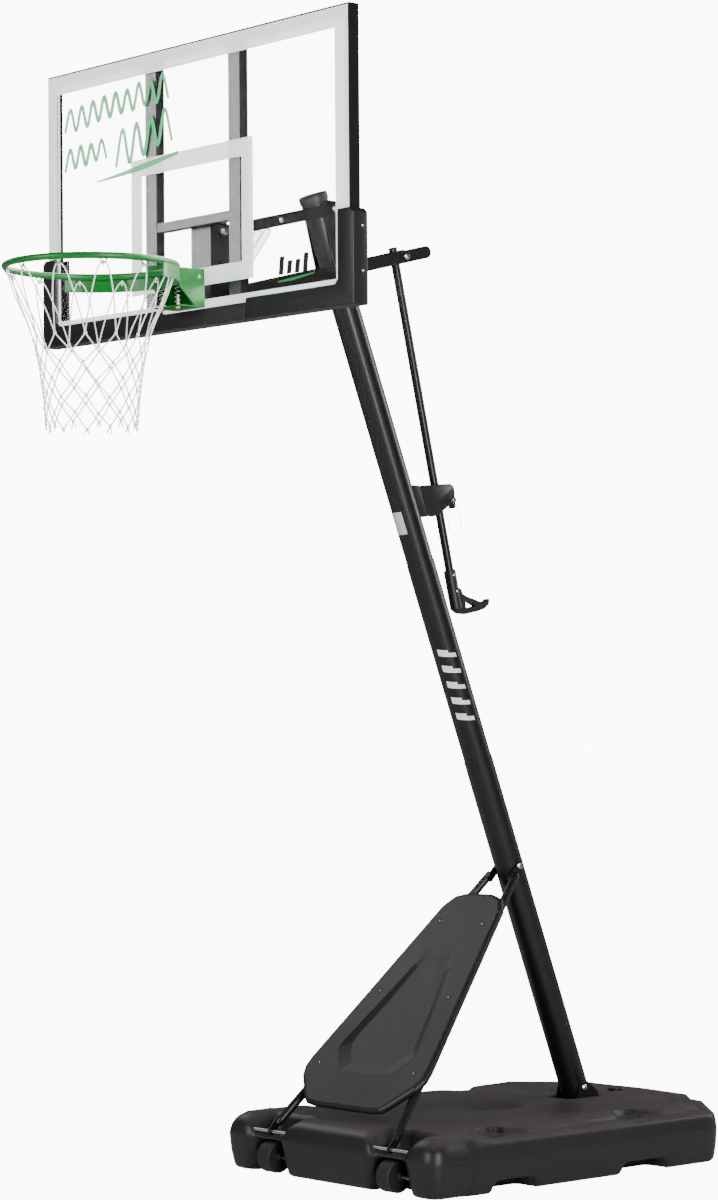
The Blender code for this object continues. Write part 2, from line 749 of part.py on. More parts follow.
def make_lift_spring(side, label):
    shift = Vector((side * SPRING_X, 0, 0))
    start = arm_point(upper_pivot(), SPRING_SEAT) + shift
    end = arm_point(lower_pivot(), ARM_LENGTH) + shift
    points = spring_path(start, end, PIVOT_BOLT + SPRING_WIRE * 0.3 + GAP, 17, SPRING_COIL)
    spring = wire("lift_spring_" + label, points, SPRING_WIRE, zinc())
    pivot_at(spring, arm_point(upper_pivot(), SPRING_SEAT))


# Board ----------------------------------------------------------------------------------------------

def make_board():
    finish = black_steel()
    half = BOARD_WIDTH / 2
    frame = box("board_frame", (-half, BOARD_FACE_Y, BOARD_BOTTOM), (half, FRAME_BACK_Y, BOARD_TOP), finish)
    inner = half - RAIL_WIDTH
    cut(frame, box("frame_window", (-inner, -1.5, BOARD_BOTTOM + RAIL_WIDTH), (inner, -1.0, BOARD_TOP - RAIL_WIDTH),
                   finish))
    edge = 0.0025
    cut(frame, box("frame_rebate", (-half + edge, -1.5, BOARD_BOTTOM + edge),
                   (half - edge, FRAME_FRONT_Y, BOARD_TOP - edge), finish))
    for side in (-1, 1):
        left, right = sorted((side * (UPRIGHT_X - UPRIGHT_WIDTH / 2), side * (UPRIGHT_X + UPRIGHT_WIDTH / 2)))
        join(frame, box("frame_upright_%d" % side, (left, FRAME_FRONT_Y + 0.0005, BOARD_BOTTOM + 0.012),
                        (right, FRAME_BACK_Y - 0.0005, BOARD_TOP - 0.012), finish))
    join(frame, box("frame_crossbar", (-UPRIGHT_X, FRAME_FRONT_Y + 0.002, CROSSBAR_Z - CROSSBAR_HEIGHT / 2),
                    (UPRIGHT_X, FRAME_BACK_Y - 0.0003, CROSSBAR_Z + CROSSBAR_HEIGHT / 2), finish))
    gap = edge + GAP
    panel = box("backboard_panel", (-half + gap, BOARD_FACE_Y, BOARD_BOTTOM + gap),
                (half - gap, PANEL_BACK_Y, BOARD_TOP - gap), material("clear_acrylic", 238, 242, 242, 0.06, 0, 0.95))
    rounded(panel, 0.0006, 1, 60)


def make_board_bracket():
    finish = black_steel()
    bottom = BOARD_BOTTOM + PAD_HEIGHT - 0.010
    outline = [(FRAME_BACK_Y + GAP, bottom), (-0.995, bottom), (-0.985, bottom + 0.012),
               (-0.985, 2.560), (-1.030, 2.715), (-1.045, 2.745), (FRAME_BACK_Y + GAP, 2.745)]
    bracket = prism_x("board_bracket", outline, -BRACKET_OUTER, BRACKET_OUTER, finish)
    space = [(FRAME_BACK_Y + GAP + BRACKET_PLATE, 2.40), (-0.900, 2.40), (-0.900, 2.80),
             (FRAME_BACK_Y + GAP + BRACKET_PLATE, 2.80)]
    cut(bracket, prism_x("board_bracket_space", space, -BRACKET_INNER, BRACKET_INNER, finish))
    bore_x(bracket, arm_point(lower_pivot(), ARM_LENGTH), PIVOT_BOLT + GAP, -0.06, 0.06)
    bore_x(bracket, arm_point(upper_pivot(), ARM_LENGTH), PIVOT_BOLT + GAP, -0.06, 0.06)
    pivot_at(bracket, arm_point(lower_pivot(), ARM_LENGTH))


def pad_channel(name, outline, finish):
    """Padding from an outline of (x, z), hollowed where it takes the edge of the board."""
    front = BOARD_FACE_Y - PAD_WALL
    back = FRAME_BACK_Y + PAD_WALL
    pad = prism_y(name, outline, front, back, finish)
    rounded(pad, 0.0045, 3, 50)
    half = BOARD_WIDTH / 2 + GAP
    groove = box(name + "_groove", (-half, BOARD_FACE_Y - GAP, BOARD_BOTTOM - GAP),
                 (half, FRAME_BACK_Y + GAP, BOARD_TOP + 0.1), finish)
    return cut(pad, groove)


def make_pads():
    finish = material("black_padding", 24, 23, 24, 0.5)
    outer = BOARD_WIDTH / 2 + PAD_SIDE
    inner = BOARD_WIDTH / 2 - 0.045
    low = BOARD_BOTTOM - 0.015
    top = low + PAD_HEIGHT
    tall = low + PAD_UPRIGHT_HEIGHT
    seam = 0.250
    right = [(seam + 0.0003, low), (outer, low), (outer, tall - 0.012), (outer - 0.012, tall), (inner, tall),
             (inner, top + 0.012), (inner - 0.012, top), (seam + 0.0003, top)]
    left = [(seam, low), (seam, top - 0.012), (-0.123, top - 0.012), (-0.135, top), (-inner + 0.012, top),
            (-inner, top + 0.012), (-inner, tall), (-outer + 0.012, tall), (-outer, tall - 0.012), (-outer, low)]
    pad_channel("edge_pad_right", right, finish)
    pad_channel("edge_pad_left", left, finish)


# Ring -----------------------------------------------------------------------------------------------

def rim_hinge():
    return Vector((0, BOARD_FACE_Y - RIM_HINGE_BACK, RIM_Z - 0.010))


def make_rim_bracket():
    finish = green_steel()
    face = BOARD_FACE_Y - GAP
    half = RIM_BRACKET_HALF
    low = 2.481
    high = 2.588
    bracket = box("rim_bracket", (-half, face - RIM_PLATE, low + 0.0005), (half, face, high - 0.0005), finish)
    outline = [(face - 0.0005, low), (-1.161, low), (-1.206, 2.524), (-1.230, 2.550), (-1.228, 2.584),
               (-1.222, high), (face - 0.0005, high)]
    for side in (-1, 1):
        left, right = sorted((side * (half - RIM_PLATE), side * half))
        join(bracket, prism_x("rim_cheek_%d" % side, outline, left, right, finish))
    join(bracket, box("rim_floor", (-half + 0.002, -1.2165, low + 0.0003), (half - 0.002, face - 0.002,
                                                                       low + RIM_PLATE), finish))
    join(bracket, box("rim_top", (-half + 0.002, -1.212, high - RIM_PLATE), (half - 0.002, face - 0.002,
                                                                      high - 0.0003), finish))
    bore_x(bracket, rim_hinge(), 0.004 + GAP, -0.07, 0.07)
    for side in (-1, 1):
        hole = turned("rim_stud_hole_%d" % side, Vector((side * 0.035, -1.205, 2.47)), Vector((0, 0, 1)),
                      [(0, 0.004 + GAP), (0.03, 0.004 + GAP)], finish, 16)
        cut(bracket, hole)
    bolt_x("rim_pivot_pin", rim_hinge(), -half, half, 0.004, zinc())


def make_rim_springs(side, label):
    base = Vector((side * 0.035, -1.205, 2.481))
    profile = [(-0.0056, 0.0055), (-0.0050, 0.0068), (-GAP, 0.0068), (-GAP, 0.0040), (0.033, 0.0040),
               (0.034, 0.0032)]
    turned("rim_stud_" + label, base, Vector((0, 0, 1)), profile, zinc(), 16)
    points = []
    low = 2.4850 + 0.0012 + GAP
    high = RIM_Z - 0.0150 - 0.0012 - GAP
    for i in range(6 * 8 + 1):
        angle = 2 * math.pi * i / 8
        points.append(Vector((base.x + 0.0082 * math.cos(angle), base.y + 0.0082 * math.sin(angle),
                              low + (high - low) * i / 48)))
    wire("rim_spring_" + label, points, 0.0012, zinc())


def arc_plate(name, radius, thick, low, high, reach, count, finish):
    """An upright plate curved about the ring's centre, so many degrees each side of the back."""
    angles = [math.radians(90 - reach + 2 * reach * i / count) for i in range(count + 1)]
    ring = [(radius, a) for a in angles] + [(radius + thick, a) for a in reversed(angles)]
    loops = [[Vector((r * math.cos(a), RIM_Y + r * math.sin(a), z)) for r, a in ring] for z in (low, high)]
    return object_from(name, loft(loops), finish)


def make_ring():
    finish = green_steel()
    shape = bmesh.new()
    major, minor = 56, 10
    rows = []
    for i in range(major):
        turn = 2 * math.pi * i / major
        out = Vector((math.cos(turn), math.sin(turn), 0))
        centre = Vector((0, RIM_Y, RIM_Z)) + out * RIM_RADIUS
        rows.append([shape.verts.new(centre + (out * math.cos(a) + Vector((0, 0, math.sin(a)))) * RIM_TUBE / 2)
                     for a in [2 * math.pi * (k + 0.5) / minor for k in range(minor)]])
    for i, row in enumerate(rows):
        following = rows[(i + 1) % major]
        for k in range(minor):
            shape.faces.new((row[k], following[k], following[(k + 1) % minor], row[(k + 1) % minor]))
    ring = object_from("rim_ring", shape, finish)
    join(ring, arc_plate("ring_brace", RIM_RADIUS + 0.0032, 0.004, 2.532, 2.5715, 72, 36, finish))
    join(ring, arc_plate("ring_collar", RIM_RADIUS + 0.0062, 0.004, 2.5572, 2.6000, 15, 10, finish))
    lever = box("ring_lever", (-0.050, RIM_Y + RIM_RADIUS + 0.004, RIM_Z - 0.0150),
                (0.050, rim_hinge().y - 0.004, RIM_Z - 0.0090), finish)
    join(ring, lever)
    knuckle = turned("ring_knuckle", rim_hinge() + Vector((-0.0495, 0, 0)), Vector((1, 0, 0)),
                     [(0, 0.0085), (0.099, 0.0085)], finish, 20)
    join(ring, knuckle)
    bore_x(ring, rim_hinge(), 0.004 + GAP, -0.07, 0.07)
    pivot_at(ring, rim_hinge())


def make_net():
    """The net's envelope: a thin waisted sleeve, open at both ends."""
    top = RIM_Z - 0.0093
    levels = ((0.0, 0.2340), (0.018, 0.2290), (0.085, 0.2040), (0.140, 0.1790), (0.195, 0.1600), (0.270, 0.1440),
              (0.360, 0.1330), (NET_LENGTH, 0.1270))
    outer = [(-down, radius) for down, radius in levels]
    inner = [(-down, radius - NET_WALL) for down, radius in reversed(levels)]
    net = turned("net", Vector((0, RIM_Y, top)), Vector((0, 0, 1)), outer + inner,
                 material("white_net", 236, 236, 232, 0.8), 28, True)
    pivot_at(net, rim_hinge())


# Rod, lock and handle ---------------------------------------------------------------------------------

def make_rod():
    finish = black_steel()
    inner = ROD_RADIUS - 0.0015
    profile = [(-ROD_ABOVE, inner), (-ROD_ABOVE, ROD_RADIUS), (ROD_LENGTH, ROD_RADIUS), (ROD_LENGTH, inner)]
    rod = turned("lift_rod", rod_pivot(), rod_direction(), profile, finish, 28, True)
    bore_x(rod, rod_pivot(), PIVOT_BOLT + GAP, -0.02, 0.02)
    for along in (0.953, 1.003):
        bore_x(rod, rod_point(along), 0.003 + GAP, -0.02, 0.02)
    pivot_at(rod, rod_pivot())
    cap = [(-ROD_ABOVE - 0.006, ROD_RADIUS - 0.002), (-ROD_ABOVE - 0.004, ROD_RADIUS + 0.001),
           (-ROD_ABOVE - GAP, ROD_RADIUS + 0.001), (-ROD_ABOVE - GAP, inner - GAP), (-ROD_ABOVE + 0.012, inner - GAP)]
    pivot_at(turned("rod_end_cap", rod_pivot(), rod_direction(), cap, dark_plastic(), 28), rod_pivot())
    for side, label in ((-1, "left"), (1, "right")):
        start = ROD_RADIUS + GAP
        base = rod_pivot() + Vector((side * start, 0, 0))
        length = ARM_INNER - GAP - start
        spacer = [(0, PIVOT_BOLT + GAP), (0, 0.009), (length, 0.009), (length, PIVOT_BOLT + GAP)]
        turned("rod_spacer_" + label, base, Vector((side, 0, 0)), spacer, dark_plastic(), 20, True)


def make_handle():
    finish = dark_plastic()
    reach = ROD_LENGTH + 0.014
    handle = turned("lift_handle", rod_pivot(), rod_direction(),
                    [(HANDLE_START, 0.0172), (HANDLE_START + 0.003, 0.0180), (reach - 0.004, 0.0180),
                     (reach, 0.0150)], finish, 28)
    grip = [(-0.146, 1.722), (-0.128, 1.716), (-0.119, 1.700), (-0.100, 1.692), (-0.070, 1.684), (-0.045, 1.676),
            (-0.030, 1.679), (-0.019, 1.687), (-0.011, 1.686), (-0.014, 1.669), (-0.030, 1.657), (-0.060, 1.648),
            (-0.110, 1.639), (-0.140, 1.641), (-0.155, 1.652)]
    arm = prism_x("handle_grip", grip, -0.0095, 0.0095, finish)
    rounded(arm, 0.003, 2, 40)
    join(handle, arm)
    hole = [(-0.112, 1.683), (-0.108, 1.655), (-0.068, 1.664)]
    cut(handle, prism_x("handle_window", hole, -0.03, 0.03, finish))
    bore = turned("handle_socket", rod_pivot(), rod_direction(),
                  [(HANDLE_START - 0.02, ROD_RADIUS + GAP), (ROD_LENGTH + GAP, ROD_RADIUS + GAP)], finish, 28)
    cut(handle, bore)
    for along in (0.953, 1.003):
        bore_x(handle, rod_point(along), 0.003 + GAP, -0.03, 0.03)
    pivot_at(handle, rod_pivot())
    for along, label in ((0.953, "upper"), (1.003, "lower")):
        bolt_x("handle_bolt_" + label, rod_point(along), -0.0181, 0.0181, 0.003, zinc())


def behind_pole(z, distance):
    """Y of a line beside the pole, so far from its axis, at height z."""
    return pole_y(z) + distance / math.cos(POLE_LEAN)


SADDLE_OUT = 0.0500


def make_lock():
    finish = dark_plastic()
    low, high = 1.926, 2.016
    saddle_outline = [(behind_pole(low, 0.022), low), (behind_pole(low, SADDLE_OUT), low),
                      (behind_pole(high, SADDLE_OUT), high), (behind_pole(high, 0.022), high)]
    saddle = prism_x("lock_saddle", saddle_outline, -0.034, 0.034, finish)
    pole = turned("saddle_hollow", pole_point(low - 0.05), pole_direction(),
                  [(0, UPPER_RADIUS + GAP), (0.20, UPPER_RADIUS + GAP)], finish, 40)
    cut(saddle, pole)
    front = SADDLE_OUT + GAP
    outline = [(behind_pole(1.932, front), 1.932), (behind_pole(2.010, front), 2.010), (-0.252, 2.021),
               (-0.185, 2.026), (-0.170, 2.020), (-0.165, 2.001), (-0.167, 1.970), (-0.180, 1.965), (-0.199, 1.954),
               (-0.219, 1.939), (-0.239, 1.929), (-0.257, 1.926)]
    inner = ROD_RADIUS + 0.0010
    for side, label in ((-1, "left"), (1, "right")):
        left, right = sorted((side * inner, side * (inner + 0.0135)))
        shell = prism_x("lock_housing_" + label, outline, left, right, finish)
        rounded(shell, 0.0022, 2, 35)
        bore_x(shell, lock_pin_point(), LOCK_PIN_RADIUS + GAP, left - 0.01, right + 0.01)
        bore_x(shell, latch_point(), 0.0022 + GAP, left - 0.01, right + 0.01)
    latch = [(-0.1785, 2.019), (-0.168, 2.024), (-0.158, 2.016), (-0.152, 1.990), (-0.148, 1.960), (-0.156, 1.953),
             (-0.161, 1.975), (-0.166, 1.995), (-0.176, 2.002)]
    lever = prism_x("lock_latch", latch, -inner + 0.001, inner - 0.001, finish)
    rounded(lever, 0.0012, 1, 40)
    outer = inner + 0.0135
    trunnion = turned("latch_trunnion", latch_point() + Vector((-outer, 0, 0)), Vector((1, 0, 0)),
                      [(0, 0.0022), (2 * outer, 0.0022)], finish, 16)
    join(lever, trunnion)
    pivot_at(lever, latch_point())
    pin = [(0.0, LOCK_PIN_RADIUS * 0.7), (0.002, LOCK_PIN_RADIUS), (2 * outer + 0.0015, LOCK_PIN_RADIUS),
           (2 * outer + 0.0015, 0.0025), (2 * outer + 0.0055, 0.0025), (2 * outer + 0.0055, 0.0070),
           (2 * outer + 0.0100, 0.0070), (2 * outer + 0.0115, 0.0050)]
    pin_body = turned("lock_pin", lock_pin_point() + Vector((-outer, 0, 0)), Vector((1, 0, 0)), pin,
                      material("pin_steel", 150, 150, 150, 0.35, 0.9), 20)
    pivot_at(pin_body, lock_pin_point())


def lock_pin_point():
    return Vector((0, -0.1765, 1.978))


def latch_point():
    return Vector((0, -0.1710, 2.0110))


def make_lanyard():
    """The pin's thin steel tether, a loop from the pin's neck back to the housing."""
    outer = ROD_RADIUS + 0.0010 + 0.0135
    anchor = lock_pin_point()
    ring_x = outer + 0.0035
    centre = Vector((ring_x, anchor.y, anchor.z - 0.0029))
    loops = []
    for i in range(20):
        turn = 2 * math.pi * i / 20
        out = Vector((0, math.cos(turn), math.sin(turn)))
        middle = centre + out * 0.0062
        loops.append([middle + (out * math.cos(a) + Vector((1, 0, 0)) * math.sin(a)) * 0.0008
                      for a in [2 * math.pi * k / 6 for k in range(6)]])
    object_from("lanyard_ring", loft(loops, True), zinc())
    hand = [Vector((ring_x, centre.y + 0.0004, centre.z - 0.0062 - 0.0008 - 0.00075 - GAP)),
            Vector((ring_x, -0.165, 1.956)), Vector((ring_x - 0.002, -0.150, 1.940)),
            Vector((ring_x - 0.006, -0.139, 1.915)), Vector((ring_x - 0.010, -0.141, 1.888)),
            Vector((ring_x - 0.014, -0.156, 1.873)), Vector((ring_x - 0.016, -0.171, 1.882)),
            Vector((ring_x - 0.015, -0.181, 1.905)), Vector((ring_x - 0.012, -0.190, 1.935)),
            Vector((ring_x - 0.010, -0.196, 1.9550 - 0.00075 - GAP))]
    points = smooth_points(hand, 4)
    curve = bpy.data.curves.new("lanyard", "CURVE")
    curve.dimensions = "3D"
    curve.bevel_depth = 0.00075
    curve.bevel_resolution = 2
    curve.use_fill_caps = True
    spline = curve.splines.new("POLY")
    spline.points.add(len(points) - 1)
    for knot, point in zip(spline.points, points):
        knot.co = (point.x, point.y, point.z, 1.0)
    curve.materials.append(material("lanyard_cable", 175, 176, 178, 0.35, 0.8))
    bpy.context.scene.collection.objects.link(bpy.data.objects.new("lanyard", curve))


def smooth_points(hand, steps):
    """Catmull-Rom points through a list of points."""
    padded = [hand[0] * 2 - hand[1]] + hand + [hand[-1] * 2 - hand[-2]]
    points = []
    for i in range(1, len(padded) - 2):
        a, b, c, d = padded[i - 1 : i + 3]
        for k in range(steps):
            t = k / steps
            points.append(0.5 * ((2 * b) + (c - a) * t + (2 * a - 5 * b + 4 * c - d) * t * t
                                 + (3 * b - a - 3 * c + d) * t ** 3))
    points.append(hand[-1])
    return points


def main():
    for obj in list(bpy.data.objects):
        bpy.data.objects.remove(obj, do_unlink=True)
    make_tank()
    make_ballast()
    make_filler_cap()
    make_pole()
    make_pole_cap()
    make_pole_bracket()
    make_foot()
    make_label()
    make_strut_bolt()
    make_shield()
    make_arm_bolts()
    make_board()
    make_board_bracket()
    make_pads()
    make_rim_bracket()
    make_ring()
    make_net()
    make_rod()
    make_handle()
    make_lock()
    make_lanyard()
    for side, label in ((-1, "left"), (1, "right")):
        make_wheel(side, label)
        make_strut(side, label)
        make_lower_arm(side, label)
        make_upper_arm(side, label)
        make_lift_spring(side, label)
        make_rim_springs(side, label)


main()
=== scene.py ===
"""Looks for a portable basketball hoop: finishes for the frame, and the pieces with a look of their own."""

import enum
import json
import logging
import math
import random
from dataclasses import dataclass, field

import bmesh
import bpy
from mathutils import Matrix, Vector

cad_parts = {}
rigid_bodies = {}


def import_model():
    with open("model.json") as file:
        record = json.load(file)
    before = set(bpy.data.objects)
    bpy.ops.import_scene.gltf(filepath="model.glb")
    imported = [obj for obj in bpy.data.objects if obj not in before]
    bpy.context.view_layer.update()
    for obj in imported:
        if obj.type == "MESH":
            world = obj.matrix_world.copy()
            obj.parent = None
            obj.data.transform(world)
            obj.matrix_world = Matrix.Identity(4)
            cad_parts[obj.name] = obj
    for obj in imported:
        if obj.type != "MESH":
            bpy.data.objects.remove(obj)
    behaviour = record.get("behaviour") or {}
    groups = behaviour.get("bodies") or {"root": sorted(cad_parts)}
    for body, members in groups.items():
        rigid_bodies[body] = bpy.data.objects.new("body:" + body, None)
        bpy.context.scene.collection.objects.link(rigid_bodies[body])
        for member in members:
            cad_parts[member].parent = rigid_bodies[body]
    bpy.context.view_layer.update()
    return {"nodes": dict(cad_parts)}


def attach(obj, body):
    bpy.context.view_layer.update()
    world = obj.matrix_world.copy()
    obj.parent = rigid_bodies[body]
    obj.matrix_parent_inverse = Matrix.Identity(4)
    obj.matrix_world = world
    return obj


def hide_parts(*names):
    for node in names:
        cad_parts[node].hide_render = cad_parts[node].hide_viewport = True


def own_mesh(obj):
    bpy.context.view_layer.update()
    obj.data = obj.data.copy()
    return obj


LOG = logging.getLogger("hoop")
X_AXIS = Vector((1.0, 0.0, 0.0))
Y_AXIS = Vector((0.0, 1.0, 0.0))
Z_AXIS = Vector((0.0, 0.0, 1.0))
Colour = tuple[float, float, float]


class Body(enum.Enum):
    """The moving groups that pieces ride on."""

    BASE = "base"
    BOARD = "board"
    RIM = "rim"
    LIFT_SPRINGS = "lift_springs"
    LATCH = "latch"
    PIN = "pin"


# Shading ---------------------------------------------------------------------------------------------


def linear(red: float, green: float, blue: float) -> Colour:
    """Turns 8-bit sRGB into linear light.

    Args:
        red: Red, 0 to 255.
        green: Green, 0 to 255.
        blue: Blue, 0 to 255.

    Returns:
        The colour in linear light.
    """
    shares = [channel / 255 for channel in (red, green, blue)]
    return tuple(s / 12.92 if s <= 0.04045 else ((s + 0.055) / 1.055) ** 2.4 for s in shares)


def new_group(name: str, inputs: dict[str, float], outputs: tuple[str, ...]) -> bpy.types.NodeTree:
    """Makes a shader node group with float sockets.

    Args:
        name: Name of the group.
        inputs: Input names and their default values.
        outputs: Output names.

    Returns:
        The group, with its input and output nodes in place.
    """
    group = bpy.data.node_groups.new(name, "ShaderNodeTree")
    for label, value in inputs.items():
        socket = group.interface.new_socket(label, in_out="INPUT", socket_type="NodeSocketFloat")
        socket.default_value = value
    for label in outputs:
        group.interface.new_socket(label, in_out="OUTPUT", socket_type="NodeSocketFloat")
    group.nodes.new("NodeGroupInput").name = "in"
    group.nodes.new("NodeGroupOutput").name = "out"
    return group


def surface_group() -> bpy.types.NodeTree:
    """Builds the shared fine texture: a grain height, soft cloudiness and a mask on upward faces for dust, laid
    on thick as a painted sheen on the moulded tank.

    Returns:
        The group, built once and shared by every finish.
    """
    found = bpy.data.node_groups.get("fine_surface")
    if found:
        return found
    group = new_group(
        "fine_surface",
        {"Grain Scale": 600.0, "Cloud Scale": 6.0, "Dust": 0.1},
        ("Grain", "Cloud", "Dust And Sheen Mask"),
    )
    nodes, links = group.nodes, group.links
    source, result = nodes["in"], nodes["out"]
    place = nodes.new("ShaderNodeTexCoord")
    grain = nodes.new("ShaderNodeTexNoise")
    grain.inputs["Detail"].default_value = 2.0
    links.new(place.outputs["Object"], grain.inputs["Vector"])
    links.new(source.outputs["Grain Scale"], grain.inputs["Scale"])
    cloud = nodes.new("ShaderNodeTexNoise")
    cloud.inputs["Detail"].default_value = 5.0
    cloud.inputs["Roughness"].default_value = 0.6
    links.new(place.outputs["Object"], cloud.inputs["Vector"])
    links.new(source.outputs["Cloud Scale"], cloud.inputs["Scale"])
    facing = nodes.new("ShaderNodeNewGeometry")
    split = nodes.new("ShaderNodeSeparateXYZ")
    links.new(facing.outputs["Normal"], split.inputs["Vector"])
    # Upward faces, broken up by the cloud, take dust; on the moulded tank the large amount makes it a painted
    # sheen.
    upward = nodes.new("ShaderNodeMapRange")
    upward.inputs["From Min"].default_value = 0.55
    upward.inputs["From Max"].default_value = 1.0
    links.new(split.outputs["Z"], upward.inputs["Value"])
    patchy = nodes.new("ShaderNodeMath")
    patchy.operation = "MULTIPLY"
    links.new(upward.outputs["Result"], patchy.inputs[0])
    links.new(cloud.outputs["Fac"], patchy.inputs[1])
    amount = nodes.new("ShaderNodeMath")
    amount.operation = "MULTIPLY"
    links.new(patchy.outputs["Value"], amount.inputs[0])
    links.new(source.outputs["Dust"], amount.inputs[1])
    links.new(grain.outputs["Fac"], result.inputs["Grain"])
    links.new(cloud.outputs["Fac"], result.inputs["Cloud"])
    links.new(amount.outputs["Value"], result.inputs["Dust And Sheen Mask"])
    return group


@dataclass(frozen=True)
class Finish:
    """A surface finish: a Principled shader with fine grain, soft unevenness and a little dust, laid on thick as
    a painted sheen on the moulded tank.
    """

    name: str
    colour: Colour
    roughness: float
    metallic: float = 0.0
    coat: float = 0.0
    specular: float = 0.5
    grain_scale: float = 700.0
    grain_depth: float = 0.00004
    unevenness: float = 0.10
    cloud_scale: float = 6.0
    # Amount and colour laid on upward faces: dust, and on the moulded tank a painted sheen.
    dust: float = 0.15
    dust_and_sheen_colour: Colour = (0.32, 0.31, 0.30)
    cover: float = 1.0
    # Emission in the finish's own colour: a painted glow that brightens the prints and the net's twine.
    glow: float = 0.0

    def build(self) -> bpy.types.Material:
        """Builds the material, once.

        Returns:
            The material of this finish.
        """
        found = bpy.data.materials.get("look_" + self.name)
        if found:
            return found
        made = bpy.data.materials.new("look_" + self.name)
        made.use_nodes = True
        nodes, links = made.node_tree.nodes, made.node_tree.links
        shader = nodes["Principled BSDF"]
        shader.inputs["Metallic"].default_value = self.metallic
        shader.inputs["Coat Weight"].default_value = self.coat
        shader.inputs["Coat Roughness"].default_value = 0.2
        shader.inputs["Alpha"].default_value = self.cover
        # Painted glow: the finish's own colour, emitted at the glow strength.
        shader.inputs["Emission Color"].default_value = (*self.colour, 1.0)
        shader.inputs["Emission Strength"].default_value = self.glow
        shader.inputs["Specular IOR Level"].default_value = self.specular
        surface = nodes.new("ShaderNodeGroup")
        surface.node_tree = surface_group()
        surface.inputs["Grain Scale"].default_value = self.grain_scale
        surface.inputs["Cloud Scale"].default_value = self.cloud_scale
        surface.inputs["Dust"].default_value = self.dust
        shade = self.mixed(nodes, links, surface.outputs["Cloud"], self.varied(0.86), self.varied(1.14))
        # Dust colour on upward faces; on the moulded tank it is a painted sheen.
        dust_and_sheen_mix = self.mixed(nodes, links, surface.outputs["Dust And Sheen Mask"],
                           (*self.colour, 1.0), (*self.dust_and_sheen_colour, 1.0))
        links.new(shade.outputs[2], dust_and_sheen_mix.inputs[6])
        links.new(dust_and_sheen_mix.outputs[2], shader.inputs["Base Color"])
        rough = nodes.new("ShaderNodeMapRange")
        rough.inputs["To Min"].default_value = max(0.02, self.roughness - self.unevenness / 2)
        rough.inputs["To Max"].default_value = min(1.0, self.roughness + self.unevenness / 2)
        links.new(surface.outputs["Cloud"], rough.inputs["Value"])
        links.new(rough.outputs["Result"], shader.inputs["Roughness"])
        bump = nodes.new("ShaderNodeBump")
        bump.inputs["Strength"].default_value = 0.6
        bump.inputs["Distance"].default_value = self.grain_depth
        links.new(surface.outputs["Grain"], bump.inputs["Height"])
        links.new(bump.outputs["Normal"], shader.inputs["Normal"])
        return made

    def varied(self, factor: float) -> tuple[float, float, float, float]:
        """Returns the colour, lighter or darker by a factor."""
        return tuple(min(1.0, channel * factor) for channel in self.colour) + (1.0,)

    @staticmethod
    def mixed(
        nodes: bpy.types.Nodes,
        links: bpy.types.NodeLinks,
        factor: bpy.types.NodeSocket,
        first: tuple[float, ...],
        second: tuple[float, ...],
    ) -> bpy.types.Node:
        """Adds a colour mix driven by a mask.

        Args:
            nodes: Nodes of the material.
            links: Links of the material.
            factor: Output socket that drives the mix.
            first: Colour where the mask is 0.
            second: Colour where the mask is 1.

        Returns:
            The mix node.
        """
        mix = nodes.new("ShaderNodeMix")
        mix.data_type = "RGBA"
        links.new(factor, mix.inputs["Factor"])
        mix.inputs[6].default_value = first
        mix.inputs[7].default_value = second
        return mix


@dataclass(frozen=True)
class ClearSheet:
    """Clear acrylic: a glass-like shader that lets light through to what stands behind."""

    name: str = "clear_acrylic"
    tint: Colour = (0.965, 0.975, 0.975)
    roughness: float = 0.02

    def build(self) -> bpy.types.Material:
        """Builds the material, with faint surface haze and no dark shadow.

        Returns:
            The material of the sheet.
        """
        made = bpy.data.materials.new("look_" + self.name)
        made.use_nodes = True
        nodes, links = made.node_tree.nodes, made.node_tree.links
        shader = nodes["Principled BSDF"]
        shader.inputs["Base Color"].default_value = (*self.tint, 1.0)
        shader.inputs["Transmission Weight"].default_value = 1.0
        shader.inputs["IOR"].default_value = 1.06
        surface = nodes.new("ShaderNodeGroup")
        surface.node_tree = surface_group()
        surface.inputs["Cloud Scale"].default_value = 3.0
        rough = nodes.new("ShaderNodeMapRange")
        rough.inputs["To Min"].default_value = self.roughness * 0.5
        rough.inputs["To Max"].default_value = self.roughness * 1.5
        links.new(surface.outputs["Cloud"], rough.inputs["Value"])
        links.new(rough.outputs["Result"], shader.inputs["Roughness"])
        path = nodes.new("ShaderNodeLightPath")
        clear = nodes.new("ShaderNodeBsdfTransparent")
        clear.inputs["Color"].default_value = (0.9, 0.91, 0.91, 1.0)
        blend = nodes.new("ShaderNodeMixShader")
        links.new(path.outputs["Is Shadow Ray"], blend.inputs["Fac"])
        links.new(shader.outputs["BSDF"], blend.inputs[1])
        links.new(clear.outputs["BSDF"], blend.inputs[2])
        links.new(blend.outputs["Shader"], nodes["Material Output"].inputs["Surface"])
        return made


BLACK_COAT = Finish("black_powder_coat", linear(15, 14, 14), 0.34, coat=0.05, specular=0.35,
                    grain_depth=0.00003, dust=0.02)
GREEN_COAT = Finish("green_powder_coat", linear(0, 112, 34), 0.36, coat=0.10, specular=0.4,
                    grain_depth=0.00003, dust=0.01)
ZINC = Finish("zinc_plate", linear(196, 197, 196), 0.26, metallic=1.0, grain_scale=1500,
              unevenness=0.2, dust=0.0)
SPRING_STEEL = Finish("spring_steel", linear(205, 204, 198), 0.3, metallic=1.0, grain_scale=1500, dust=0.0)
